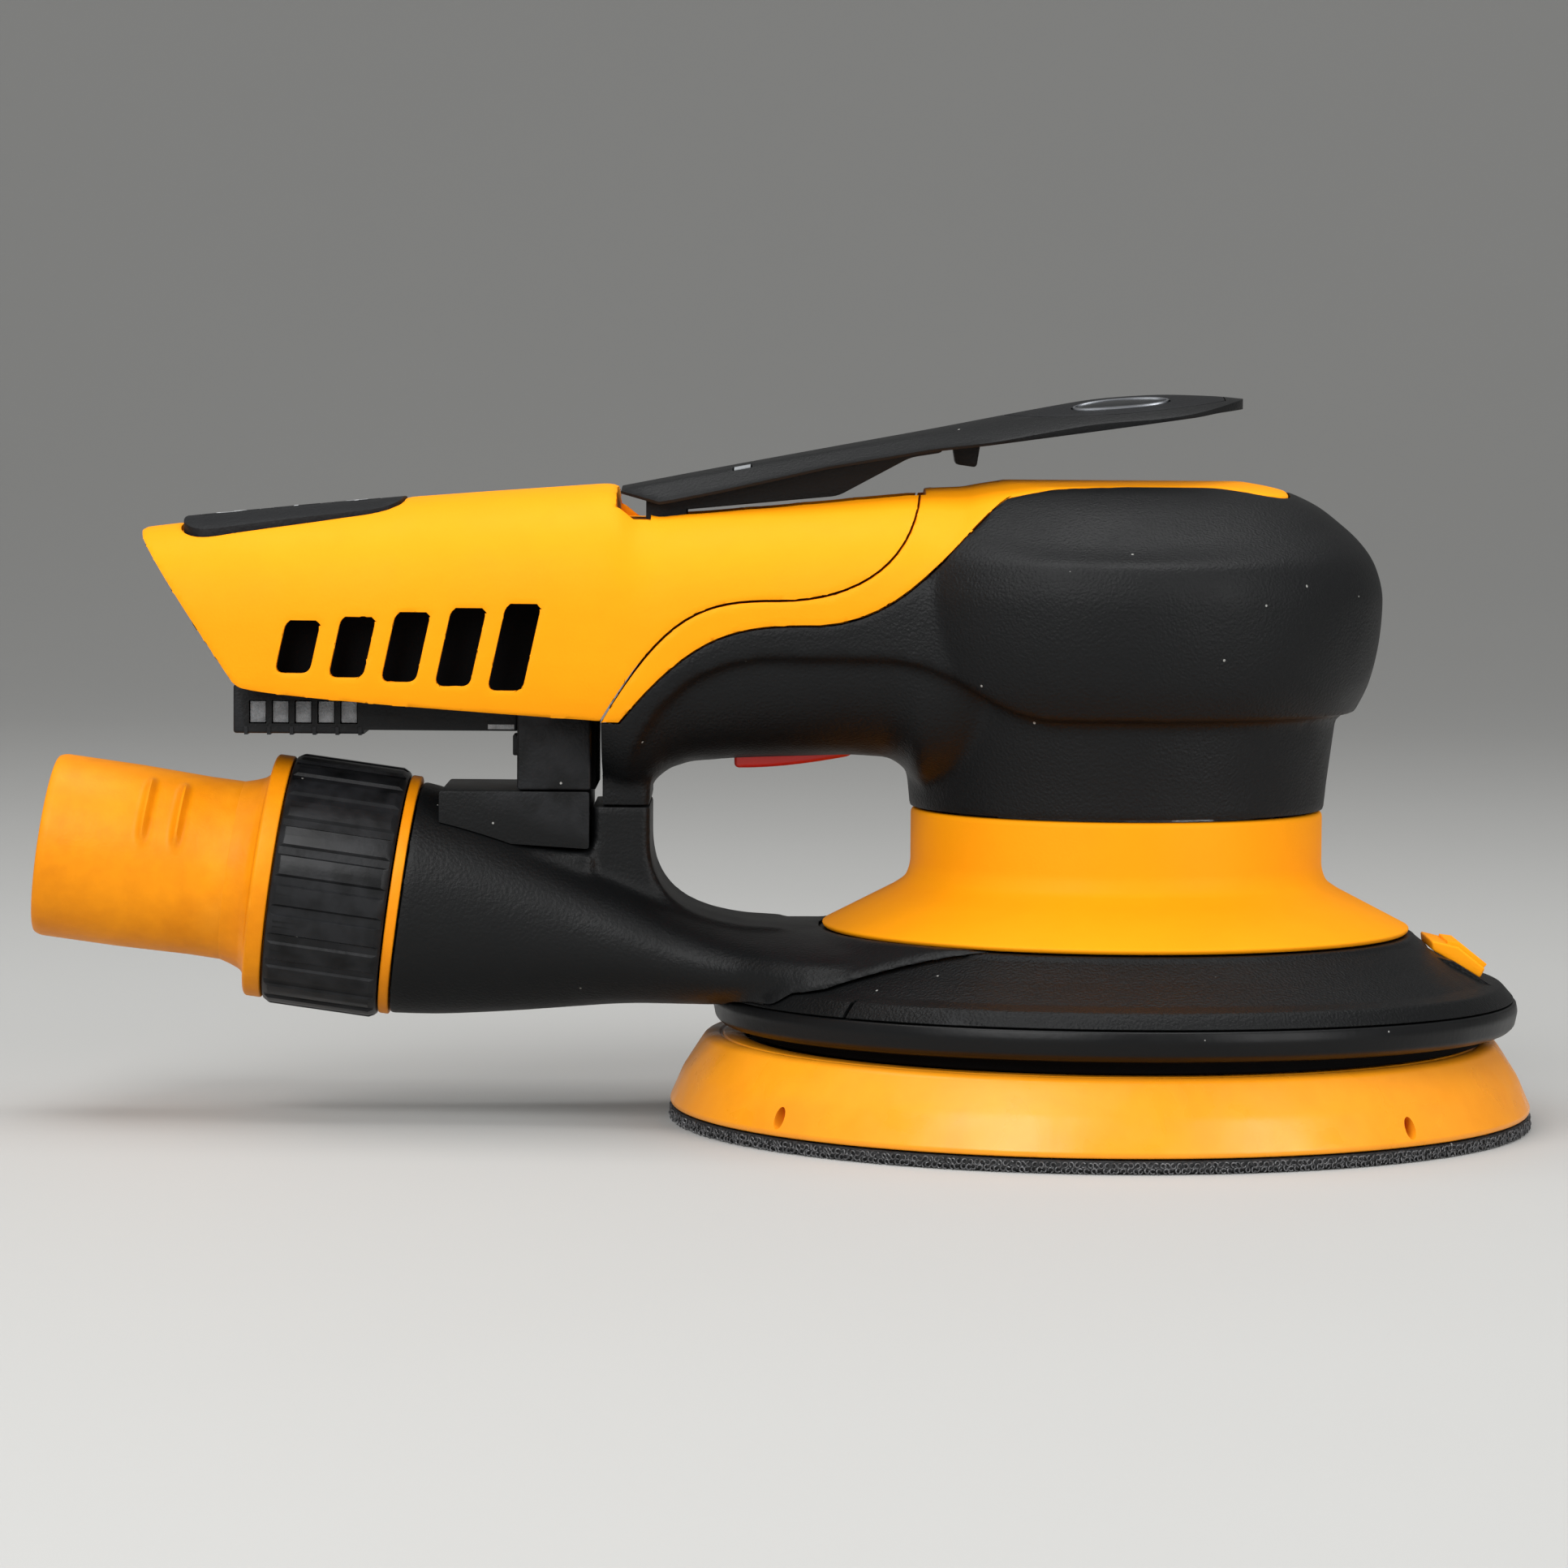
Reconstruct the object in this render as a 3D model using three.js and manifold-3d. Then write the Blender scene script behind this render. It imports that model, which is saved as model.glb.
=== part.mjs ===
// Random-orbital sander: 150 mm pad, 5 mm orbit, brushless motor upright in the head,
// palm lever on top, finger loop behind the neck and a swivelling dust spigot at the rear.
// Millimetres, +Z up, +X forward. Origin: motor axis, level with the hook face of the pad.
import * as THREE from 'three';
import { mergeVertices } from 'three/addons/utils/BufferGeometryUtils.js';
import Module from 'manifold-3d';

const wasm = await Module();
wasm.setup();

// ---------- driving dimensions ----------
const GAP = 0.3; // air between touching pieces
const ORBIT = 2.5; // eccentricity of the pad, half of the 5 mm orbit
const WALL = 2.5; // moulded wall and rubber thickness

const PAD_R = 75;
const PAD_TOP = 14.9;
const HOOK_THICK = 2.3;
const FOAM_BOTTOM = HOOK_THICK + GAP;
const PLATE_R = 61.5;
const DUST_HOLES = 6;
const DUST_HOLE_R = 5;
const DUST_PCD_R = 40;

const SHROUD_R = 70.1; // at the seam with the edge ring
const RIM_ARCH = 0.8; // the rim stands slightly higher at the sides than at the front
const BELL_R = 35.8;
const BELL_TOP = 54.4;
const BELL_BOTTOM = 33.5;
const FLARE_R = 51.2;
const SEAM_Z = 22; // seam between the shroud and the edge ring

const HANDLE_TOP_BACK = 105.6;
const TROUGH_FLOOR = 104.4;
const TROUGH_BACK = -86.9;
const TROUGH_FRONT = -34;

const LEVER_PIVOT = { x: -79, z: 99 };
const TRIGGER_PIVOT = { x: -47, z: 69 };
const PORT_TILT = Math.atan2(8.4, 61); // the hose port rises towards the rear
const PORT_START = { x: -123.5, z: 38.2 };
const NECK_R = 17.6;
const LOCK_R = 21.85;

const ROUND = 24; // facets of the large round parts
const FINE = 12; // facets of small round parts
const PAD_FACETS = 36; // facets of the pad

// ---------- materials ----------
const finish = (color, roughness, metalness = 0) =>
  new THREE.MeshStandardMaterial({ color, roughness, metalness });
const yellowPlastic = () => finish(0xffb41a, 0.55);
const padYellow = () => finish(0xffb524, 0.35);
const blackPlastic = () => finish(0x1c1d1f, 0.5);
const glossBlack = () => finish(0x121315, 0.3);
const blackRubber = () => finish(0x222426, 0.75);
const redPlastic = () => finish(0xc81e12, 0.4);
const greyFleece = () => finish(0x8f9294, 0.95);
const steel = () => finish(0xb9bcc0, 0.3, 1);
const aluminium = () => finish(0xa9adb1, 0.45, 1);
const copper = () => finish(0xb5672e, 0.4, 1);
const boardGreen = () => finish(0x1f5a34, 0.5);
const brass = () => finish(0xc9a24a, 0.35, 1);
const lampWhite = () => finish(0xd9dde0, 0.3);

// ---------- solids ----------
function solid(geometry) {
  const bare = geometry.index ? geometry.toNonIndexed() : geometry.clone();
  for (const attribute of Object.keys(bare.attributes)) {
    if (attribute !== 'position') bare.deleteAttribute(attribute);
  }
  const merged = mergeVertices(bare, 1e-4);
  const points = merged.attributes.position;
  const index = Array.from(merged.index.array);
  const corner = (i) => new THREE.Vector3().fromBufferAttribute(points, index[i]);
  const faces = [];
  let volume = 0;
  for (let i = 0; i < index.length; i += 3) {
    const [a, b, c] = [corner(i), corner(i + 1), corner(i + 2)];
    volume += a.dot(b.cross(c));
    const distinct = new Set([index[i], index[i + 1], index[i + 2]]).size === 3;
    if (distinct) faces.push(index[i], index[i + 1], index[i + 2]);
  }
  if (volume < 0) {
    for (let i = 0; i < faces.length; i += 3) [faces[i], faces[i + 1]] = [faces[i + 1], faces[i]];
  }
  const mesh = new wasm.Mesh({
    numProp: 3,
    vertProperties: new Float32Array(points.array),
    triVerts: new Uint32Array(faces),
  });
  return new wasm.Manifold(mesh);
}

const union = (first, ...rest) => rest.reduce((sum, next) => sum.add(next), first);
const cut = (first, ...rest) => rest.reduce((left, next) => left.subtract(next), first);
const moved = (body, x, y, z) => body.translate([x, y, z]);

// the main body, without the slivers that nearly meeting faces can leave
function mainBody(body) {
  const pieces = body.decompose();
  return pieces.sort((a, b) => b.volume() - a.volume())[0];
}

// box from its lowest to its highest corner
function box([x0, y0, z0], [x1, y1, z1]) {
  const geometry = new THREE.BoxGeometry(x1 - x0, y1 - y0, z1 - z0);
  geometry.translate((x0 + x1) / 2, (y0 + y1) / 2, (z0 + z1) / 2);
  return solid(geometry);
}

// box with the same reach to both sides of the middle plane
const slab = (x0, x1, halfWidth, z0, z1) => box([x0, -halfWidth, z0], [x1, halfWidth, z1]);

// body turned about +Z from [radius, height] points
function turned(profile, facets = ROUND) {
  const points = profile.map(([r, z]) => new THREE.Vector2(r, z));
  points.push(points[0].clone());
  const geometry = new THREE.LatheGeometry(points, facets);
  geometry.rotateX(Math.PI / 2);
  return solid(geometry);
}

const ring = (rIn, rOut, z0, z1, facets = ROUND) =>
  turned([[rIn, z0], [rOut, z0], [rOut, z1], [rIn, z1]], facets);

function disc(radius, z0, z1, facets = FINE) {
  const geometry = new THREE.CylinderGeometry(radius, radius, z1 - z0, facets);
  geometry.rotateX(Math.PI / 2);
  geometry.translate(0, 0, (z0 + z1) / 2);
  return solid(geometry);
}

// round bar along Y, centred on the middle plane
function crossBar(radius, halfLength, x, z, facets = 12) {
  const geometry = new THREE.CylinderGeometry(radius, radius, 2 * halfLength, facets);
  geometry.translate(x, 0, z);
  return solid(geometry);
}

// side outline, drawn as x and z, reaching to both sides of the middle plane
function sideCut(shape, halfWidth, curveSegments = 6) {
  const geometry = new THREE.ExtrudeGeometry(shape, {
    depth: 2 * halfWidth,
    bevelEnabled: false,
    curveSegments,
  });
  geometry.rotateX(Math.PI / 2);
  geometry.translate(0, halfWidth, 0);
  return solid(geometry);
}

const polygon = (...points) => new THREE.Shape(points.map(([x, y]) => new THREE.Vector2(x, y)));
const sidePlate = (halfWidth, ...points) => sideCut(polygon(...points), halfWidth);

// top outline, drawn as x and y, between two heights
function planCut(shape, z0, z1, curveSegments = 8) {
  const geometry = new THREE.ExtrudeGeometry(shape, {
    depth: z1 - z0,
    bevelEnabled: false,
    curveSegments,
  });
  geometry.translate(0, 0, z0);
  return solid(geometry);
}

function roundedPlan(x0, x1, halfWidth, corner) {
  const shape = new THREE.Shape();
  shape.moveTo(x0 + corner, -halfWidth);
  shape.lineTo(x1 - corner, -halfWidth);
  shape.absarc(x1 - corner, -halfWidth + corner, corner, -Math.PI / 2, 0, false);
  shape.absarc(x1 - corner, halfWidth - corner, corner, 0, Math.PI / 2, false);
  shape.absarc(x0 + corner, halfWidth - corner, corner, Math.PI / 2, Math.PI, false);
  shape.absarc(x0 + corner, -halfWidth + corner, corner, Math.PI, 1.5 * Math.PI, false);
  return shape;
}

// piecewise straight value read from [x, value] pairs
function valueAt(pairs, x) {
  if (x <= pairs[0][0]) return pairs[0][1];
  for (let i = 1; i < pairs.length; i += 1) {
    const [xa, va] = pairs[i - 1];
    const [xb, vb] = pairs[i];
    if (x <= xb) return va + ((vb - va) * (x - xa)) / (xb - xa);
  }
  return pairs.at(-1)[1];
}

// body lofted along X through rings given by ringPoint(x, turn) as [y, z]
function lofted(stations, facets, ringPoint) {
  const rows = stations.length - 1;
  const geometry = new THREE.CylinderGeometry(1, 1, 1, facets, rows);
  const position = geometry.attributes.position;
  for (let i = 0; i < position.count; i += 1) {
    const x = stations[Math.round((position.getY(i) + 0.5) * rows)];
    const [sideways, forward] = [position.getX(i), position.getZ(i)];
    const onAxis = Math.hypot(sideways, forward) < 0.5;
    const turn = Math.round((Math.atan2(sideways, forward) / (2 * Math.PI)) * facets) / facets;
    const [y, z] = onAxis ? centreOf(x, ringPoint) : ringPoint(x, turn);
    position.setXYZ(i, x, y, z);
  }
  return solid(geometry);
}

function centreOf(x, ringPoint) {
  const [top, bottom] = [ringPoint(x, 0), ringPoint(x, 0.5)];
  return [0, (top[1] + bottom[1]) / 2];
}

// superellipse ring: turn 0 is the top, exponent 2 is an ellipse
function ovalPoint(turn, halfWidth, bottom, top, exponent) {
  const angle = turn * 2 * Math.PI;
  const bulge = (value) => Math.sign(value) * Math.abs(value) ** (2 / exponent);
  const halfHeight = (top - bottom) / 2;
  return [bulge(Math.sin(angle)) * halfWidth, (top + bottom) / 2 + bulge(Math.cos(angle)) * halfHeight];
}

function geometryOf(body) {
  const { vertProperties, triVerts, numProp } = body.getMesh();
  const geometry = new THREE.BufferGeometry();
  const positions = new Float32Array((vertProperties.length / numProp) * 3);
  for (let i = 0; i < positions.length / 3; i += 1) {
    positions.set(vertProperties.subarray(i * numProp, i * numProp + 3), i * 3);
  }
  geometry.setAttribute('position', new THREE.BufferAttribute(positions, 3));
  geometry.setIndex(Array.from(triVerts));
  geometry.computeVertexNormals();
  return geometry;
}

function node(name, material, body) {
  const welded = solid(geometryOf(mainBody(body)));
  const mesh = new THREE.Mesh(geometryOf(mainBody(welded)), material);
  mesh.name = name;
  return mesh;
}

// ---------- outer form of the body ----------
const bodyTop = [
  [-172, 101.9], [-162, 103.1], [-140, 105.6], [-122.6, 107.8], [-110, 108.8], [-88, 110.4],
  [-83, 106.4], [-80, HANDLE_TOP_BACK], [-34, 110], [-18, 110.6], [0, 111.2],
];
const bodyHalfWidth = [
  [-172, 18.5], [-150, 22], [-125, 25], [-100, 27], [-80, 28], [-60, 28.5], [-45, 30], [-30, 33], [0, 33],
];
const bodyBottom = [[-172, 60], [-92, 60], [-84, 61.5], [-72, 62.6], [-47, 63.6], [0, 63.6]];
const headProfile = [
  [36, 54.7], [38, 71.3], [41.3, 72.1], [43.6, 76.8], [45.2, 83.5], [45.8, 90.2], [45, 95.4],
  [42.4, 100.5], [38.3, 104.3], [32, 108.4], [21, 111.5],
];

function head(inset) {
  const side = headProfile.map(([r, z]) => [r - inset, Math.min(z, 111.5 - inset)]);
  return turned([[0, 54.7], ...side, [0, 111.5 - inset]]);
}

function handle(inset) {
  const stations = bodyTop.map(([x]) => x);
  return lofted(stations, 16, (x, turn) => {
    const top = valueAt(bodyTop, x) - inset;
    const bottom = valueAt(bodyBottom, x) + inset;
    return ovalPoint(turn, valueAt(bodyHalfWidth, x) - inset, bottom, top, 2.7);
  });
}

// column behind the finger loop
function column(inset) {
  return slab(-91 + inset, -81 - inset, 14 - inset, 55.3, 72);
}

const wholeBody = (inset) => union(head(inset), handle(inset), column(Math.min(inset, WALL)));

// ---------- seams, drawn in the side view ----------
const FAR = 300;

// everything behind the seam between the rear cover and the housing
function behindRearSeam(shift) {
  const shape = new THREE.Shape();
  shape.moveTo(-34.5 - shift, FAR);
  shape.lineTo(-34.5 - shift, 112);
  shape.bezierCurveTo(-35.5 - shift, 98, -45 - shift, 91.2 + shift, -59 - shift, 91 + shift);
  shape.bezierCurveTo(-72 - shift, 91 + shift, -78 - shift, 89, -89.3 - shift, 70);
  shape.lineTo(-89.3 - shift, -FAR);
  shape.lineTo(-FAR, -FAR);
  shape.lineTo(-FAR, FAR);
  return sideCut(shape, 80);
}

// everything below and in front of the seam between the yellow housing and the rubber
function belowRubberSeam(shift) {
  const shape = new THREE.Shape();
  shape.moveTo(-12 - shift, FAR);
  shape.lineTo(-12 - shift, 111 + shift);
  shape.bezierCurveTo(-26 - shift, 111.5 + shift, -32 - shift, 88 + shift, -52 - shift, 86.8 + shift);
  shape.bezierCurveTo(-66 - shift, 86.8 + shift, -73 - shift, 86, -86 - shift, 70);
  shape.lineTo(-91.5, 70);
  shape.lineTo(-91.5, -FAR);
  shape.lineTo(FAR, -FAR);
  shape.lineTo(FAR, FAR);
  return cut(sideCut(shape, 80), crownTongue(-shift));
}

// the yellow tongue that runs forward over the crown of the head
function crownTongue(grow) {
  const [half, corner, front] = [14 + grow, 7 + grow, 29 + grow];
  const shape = new THREE.Shape();
  shape.moveTo(-40, -half - 12);
  shape.quadraticCurveTo(-12, -half - 2, 2, -half);
  shape.lineTo(front - corner, -half);
  shape.absarc(front - corner, corner - half, corner, -Math.PI / 2, 0, false);
  shape.absarc(front - corner, half - corner, corner, 0, Math.PI / 2, false);
  shape.lineTo(2, half);
  shape.quadraticCurveTo(-12, half + 2, -40, half + 12);
  return planCut(shape, 100, 130);
}

// the thinner lower rubber starts under this line
function lowerGrip() {
  const shape = new THREE.Shape();
  shape.moveTo(FAR, 71.6);
  shape.lineTo(-12, 71.6);
  shape.bezierCurveTo(-24, 71.6, -28, 81.2, -42, 81.2);
  shape.lineTo(-60, 81.2);
  shape.bezierCurveTo(-75, 81.2, -84.5, 70, -85.5, 55);
  shape.lineTo(-85.5, -FAR);
  shape.lineTo(FAR, -FAR);
  return sideCut(shape, 80);
}

// slanted tail end and the line of the cover's lower edge
function tailOutline(inset) {
  const shape = new THREE.Shape();
  shape.moveTo(0, 130);
  shape.lineTo(-166 + inset, 130);
  shape.lineTo(-169.3 + inset, 101.8);
  shape.lineTo(-151.8 + inset, 75.6 + inset / 2);
  shape.quadraticCurveTo(-145, 73.6 + inset, -90, 70.2 + inset);
  shape.lineTo(0, 70.2 + inset);
  return sideCut(shape, 80);
}

// ---------- housing shells ----------
const leverTrough = () => slab(TROUGH_BACK, TROUGH_FRONT, 17.5, TROUGH_FLOOR, FAR);
const earSlot = (side) => box([-85, side * 9 - 2.4, 95], [-73, side * 9 + 2.4, 112]);

function rearCover() {
  const outer = wholeBody(0).intersect(behindRearSeam(GAP)).intersect(tailOutline(0));
  const inside = wholeBody(WALL).intersect(slab(-200, -20, 60, 0, 101.8));
  const vents = [-141.9, -132.7, -123.7, -114.5, -105.5].map((x, i) => vent(x, i));
  const pinPosts = [-1, 1].map((side) => pinPost(side));
  const shell = cut(outer, inside, leverTrough(), keypadSeat(), bracketClearance(), ...vents);
  return cut(union(shell, ...pinPosts), earSlot(-1), earSlot(1), leverPinHole());
}

// five slanted slots through both sides of the tail, each taller than the one behind it
function vent(x, i) {
  const [low, high] = [78.1 - 0.65 * i, 86.9 + 0.8 * i];
  const [half, round] = [2.9, 1.8];
  const lean = (z) => (z - low) * 0.22;
  const shape = new THREE.Shape();
  shape.moveTo(x - half + lean(high), high);
  shape.lineTo(x - half + lean(low + round), low + round);
  shape.quadraticCurveTo(x - half, low, x - half + round, low);
  shape.lineTo(x + half - round, low);
  shape.quadraticCurveTo(x + half, low, x + half + lean(low + round), low + round);
  shape.lineTo(x + half + lean(high), high);
  return sideCut(shape, 60, 3);
}

const pinPost = (side) => {
  const [near, far] = side > 0 ? [11.8, 15.5] : [-15.5, -11.8];
  return box([-82.5, near, 96.5], [-75.5, far, 102.5]);
};
const leverPinHole = () => crossBar(1.5, 16.2, LEVER_PIVOT.x, LEVER_PIVOT.z);
const bracketClearance = () => slab(-104.2, -90.8, 16.5, 60, 73);

function mainHousing() {
  const shown = cut(wholeBody(0), belowRubberSeam(GAP));
  const covered = union(head(WALL + GAP), handle(WALL + GAP)).intersect(belowRubberSeam(GAP));
  const closed = cut(union(shown, covered), behindRearSeam(0), slab(-200, -89.6, 60, 0, 200));
  const hollow = cut(closed, insideVoid(), toothSlot(), leverTrough(), triggerSlot());
  const bosses = [-1, 1].map((side) => triggerBoss(side));
  return cut(union(hollow, ...bosses), crossBar(1.5, 20, TRIGGER_PIVOT.x, TRIGGER_PIVOT.z));
}

const insideVoid = () => {
  const dome = turned([[0, 50], [30.6, 50], [31.8, 70], [37.5, 76.8], [39.7, 90], [36.4, 99], [27, 104.4], [0, 105.6]]);
  return union(dome, slab(-100, -20, 21, 68.5, 100.5), slab(-34, -19, 5.6, 90, 103.6));
};
const toothSlot = () => slab(-32, -21, 4.6, 100, 130);
const triggerSlot = () => slab(-68.8, -44, 6.4, 40, 69);
const triggerBoss = (side) => {
  const [near, far] = side > 0 ? [6.8, 11] : [-11, -6.8];
  return box([-50.5, near, 67.6], [-43.5, far, 72]);
};

function rubberGrip() {
  const upper = cut(wholeBody(0), lowerGrip());
  const lower = wholeBody(1.2).intersect(lowerGrip());
  const skin = cut(union(upper, lower, column(0)), hollowUnderRubber(), behindRearSeam(0));
  const trimmed = cut(skin.intersect(belowRubberSeam(0)), triggerSlot(), toothSlot());
  return cut(trimmed, slab(-200, -90.8, 60, 0, 200));
}

const hollowUnderRubber = () => union(head(WALL), handle(WALL));

function motorBell() {
  const wall = turned([
    [BELL_R - 2.5, BELL_TOP], [BELL_R, BELL_TOP], [BELL_R, 43.5], [38.2, 41], [FLARE_R, 34.3],
    [FLARE_R - 0.4, BELL_BOTTOM], [FLARE_R - 3.2, BELL_BOTTOM], [36.6, 39.6], [BELL_R - 2.5, 42.8],
  ]);
  const web = ring(11.3, BELL_R - 1, 45.3, 48.3);
  return cut(union(wall, web), ...around(4, 23, () => disc(5, 40, 52, 8)));
}

// copies of a body set out on a circle about +Z
function around(count, radius, make, startDeg = 0) {
  return Array.from({ length: count }, (_, i) => {
    const turn = startDeg + (360 * i) / count;
    return moved(make(i), radius, 0, 0).rotate([0, 0, turn]);
  });
}

// ---------- dust shroud, edge ring and seal ----------
// lathe whose rim rises towards the sides by RIM_ARCH
function arched(profile, facets = ROUND) {
  const points = profile.map(([r, z]) => new THREE.Vector2(r, z));
  points.push(points[0].clone());
  const geometry = new THREE.LatheGeometry(points, facets);
  geometry.rotateX(Math.PI / 2);
  const position = geometry.attributes.position;
  for (let i = 0; i < position.count; i += 1) {
    const [x, y, z] = [position.getX(i), position.getY(i), position.getZ(i)];
    const radius = Math.hypot(x, y);
    const share = THREE.MathUtils.smoothstep(radius, FLARE_R + 1, SHROUD_R - 4);
    position.setZ(i, z + RIM_ARCH * share * (y / radius) ** 2);
  }
  return solid(geometry);
}

const shroudProfile = [
  [40, 31], [40, BELL_BOTTOM - GAP], [51.9, BELL_BOTTOM - GAP], [52.6, 32.4], [64.2, 25.5], [67.2, 24.6],
  [69.6, SEAM_Z + 0.2], [67.2, SEAM_Z + 0.2], [66.2, 22.8], [63.3, 23.5], [51.2, 30.4],
];

function dustShroud() {
  const latchBlock = sidePlate(13.5, [53.5, 30.5], [53.5, 27.5], [63.3, 22.6], [66, 22.6], [66, 24.2], [58, 29.2]);
  const seat = latchSeat();
  return cut(union(arched(shroudProfile), latchBlock), seat, ductInside(), spindleWell());
}

const spindleWell = () => disc(39.9, 10, 45, ROUND);

function latchSeat() {
  const outline = polygon([54, 34], [54, 30.4], [62.8, 25.3], [67.5, 29], [60, 34]);
  return moved(sideCut(outline, 11.5), 0, 2, 0);
}

function ringLatch() {
  const plate = sidePlate(9, [54.4, 32.4], [54.6, 30.7], [62.9, 25.9], [63.8, 27.6], [59.1, 31.3]);
  const ribs = [-6, -3, 0, 3, 6].map((y) =>
    moved(sidePlate(0.6, [57.4, 32], [57.4, 31], [63.2, 26.8], [64.2, 27.9], [59.4, 31.7]), 0, y, 0));
  return union(plate, ...ribs);
}

const edgeRing = () => arched([
  [66.9, SEAM_Z - 0.1], [69.7, SEAM_Z - 0.1], [SHROUD_R, 20.3], [69.5, 17.6], [65.6, 16.4], [65, 17.2],
  [66.9, 19.4],
]);

const brakeSeal = () => ring(62, 64.5, PAD_TOP + GAP, 22);

// ---------- dust duct ----------
const ductTop = [
  [-128, 59.4], [-118, 57.4], [-106, 53], [-95, 47.6], [-85, 42.6], [-75, 37.6], [-66, 34.8], [-56, 34.2],
  [-38, 34.6], [-30, 34.7], [-18, 34.8],
];
const ductBottom = [
  [-128, 17.9], [-118, 17.7], [-106, 18.3], [-95, 19.2], [-85, 20], [-75, 20.1], [-66, 20.3], [-56, 21], [-18, 24],
];
const ductHalfWidth = [
  [-128, 20.7], [-118, 21], [-106, 21.6], [-95, 22.4], [-85, 23.8], [-75, 25.6], [-66, 29.5], [-56, 38.5],
  [-38, 44.5], [-30, 50], [-18, 66],
];

function ductForm(inset) {
  const stations = ductTop.map(([x]) => x);
  return lofted(stations, 16, (x, turn) => {
    const bottom = valueAt(ductBottom, x) + inset;
    const top = valueAt(ductTop, x) - inset;
    return ovalPoint(turn, valueAt(ductHalfWidth, x) - inset, bottom, top, 2.3);
  });
}

// air way, from the port's neck to the window in the shroud
function ductInside() {
  const way = ductForm(WALL).intersect(slab(-118, -53.5, 22, 0, 100));
  return union(way, atPort(turned([[0, -12], [15, -12], [15, 14], [0, 14]], ROUND)));
}

// rear riser that carries the rubber column
function riser() {
  const shape = new THREE.Shape();
  shape.moveTo(-91, 55);
  shape.lineTo(-91, 40);
  shape.lineTo(-66, 30);
  shape.lineTo(-66, 36);
  shape.quadraticCurveTo(-80.8, 37, -81, 49);
  shape.lineTo(-81, 55);
  return sideCut(shape, 14);
}

function archedCone() {
  return arched([
    [0, 12], [68.5, 12], [SHROUD_R + GAP, 17], [SHROUD_R + GAP, 21.8], [67.5, 25], [64.4, 25.9], [52.9, 32.8],
    [51.7, 33.3], [51.7, 34.8], [38.6, 41.4], [0, 44],
  ]);
}

function dustDuct() {
  const body = union(ductForm(0).intersect(portFront()), riser(), shoulder());
  const neck = atPort(ring(15, NECK_R, -4, 12, ROUND));
  return cut(union(body, neck), ductInside(), archedCone(), slab(-21, 200, 100, 0, 33.2), screwSeat());
}

// flat flanks under the saddle
const shoulder = () => sidePlate(15.3, [-112, 40], [-112, 48.6], [-91, 47.4], [-91, 38]);

// half space in front of the port's shoulder
const portFront = () => atPort(moved(solid(new THREE.BoxGeometry(400, 400, 200)), 0, 0, -100));

const screwSeat = () => slab(-99.5, -95.5, 2, 44, 56);

// puts a body turned about +Z onto the port's axis, +Z pointing out of the spigot
function atPort(body) {
  const lean = -90 + THREE.MathUtils.radToDeg(PORT_TILT);
  return moved(body.rotate([0, lean, 0]), PORT_START.x, 0, PORT_START.z);
}

function ductSaddle() {
  const cap = sidePlate(15.5, [-117.2, 57.6], [-117.2, 49.2], [-91.4, 47.8], [-91.4, 57.6]);
  return cut(cap, ductForm(-GAP), screwSeat(), slab(-99.7, -95.3, 2.2, 40, 70));
}

function ductBracket() {
  const block = slab(-103.8, -91.1, 16, 57.9, 72.5);
  return cut(block, slab(-100.3, -94.7, 13, 57, 66), screwAt(-97.5, 0, 2.3, 60, 75));
}

const screwAt = (x, y, radius, z0, z1) => moved(disc(radius, z0, z1, 12), x, y, 0);

const bracketScrew = () => {
  const bar = new THREE.CylinderGeometry(1.4, 1.4, 5, 10);
  const cap = new THREE.CylinderGeometry(2.4, 2.4, 1.3, 12);
  const both = union(solid(bar), moved(solid(cap), 0, 2.5, 0));
  return moved(both, -97.5, 19, 63);
};

// ---------- hose port ----------
const portCollar = () => atPort(ring(NECK_R + GAP, 20.95, GAP, 2.1, ROUND));

function lockRing() {
  const sleeve = turned([
    [18, 2.4], [21, 2.4], [21.3, 3], [21.3, 21.8], [21, 22.4], [19.6, 22.4], [19.6, 4.6], [18, 4.6],
  ]);
  const ribs = around(18, 21, () => box([-0.6, -2, 3.4], [LOCK_R - 21, 2, 21.4]));
  return atPort(union(sleeve, ...ribs));
}

function hoseSpigot() {
  const tube = turned([
    [17.9, 13], [19.3, 13], [19.3, 22.7], [21.25, 22.7], [21.25, 25.4], [20.9, 25.7], [17.9, 26.2], [16.9, 27.2],
    [16.2, 29], [15.6, 31], [15.9, 62.6], [15.4, 63.6], [13.8, 63.6], [13.6, 62], [13.6, 25], [17.9, 21],
  ]);
  const beads = [40.2, 46].map((s) => box([-16.4, -6, s - 0.8], [-14.6, 6, s + 0.8]).rotate([0, 0, 90]));
  return atPort(union(tube, ...beads));
}

// ---------- tail: filter, controls, electronics ----------
function filterFrame() {
  const shell = cut(slab(-152.6, -103.8, 14, 67.3, 75), slab(-150.4, -105.5, 12, 68.9, 80));
  const windows = [0, 1, 2, 3, 4].map((i) => slab(-150 + 3.92 * i, -147 + 3.92 * i, 20, 68.9, 72.9));
  return cut(shell, ...windows);
}
const filterFleece = () => slab(-150.1, -106, 11.6, 69.2, 72.2);

const keypadPlan = (grow) => roundedPlan(-161.9 - grow, -124.2 + grow, 13 + grow, 5);
const tailSkin = (above, below) => cut(handle(-above), handle(-below));
const keypadSeat = () => tailSkin(4, -1.1).intersect(planCut(keypadPlan(GAP), 95, 120, 2));
const KEYS = [['power_key', -154.5, 5], ['minus_key', -143, 4], ['plus_key', -132.5, 4]];

const keyPlan = (x, half, grow) => roundedPlan(x - half - grow, x + half + grow, 5 + grow, 3);

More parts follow.
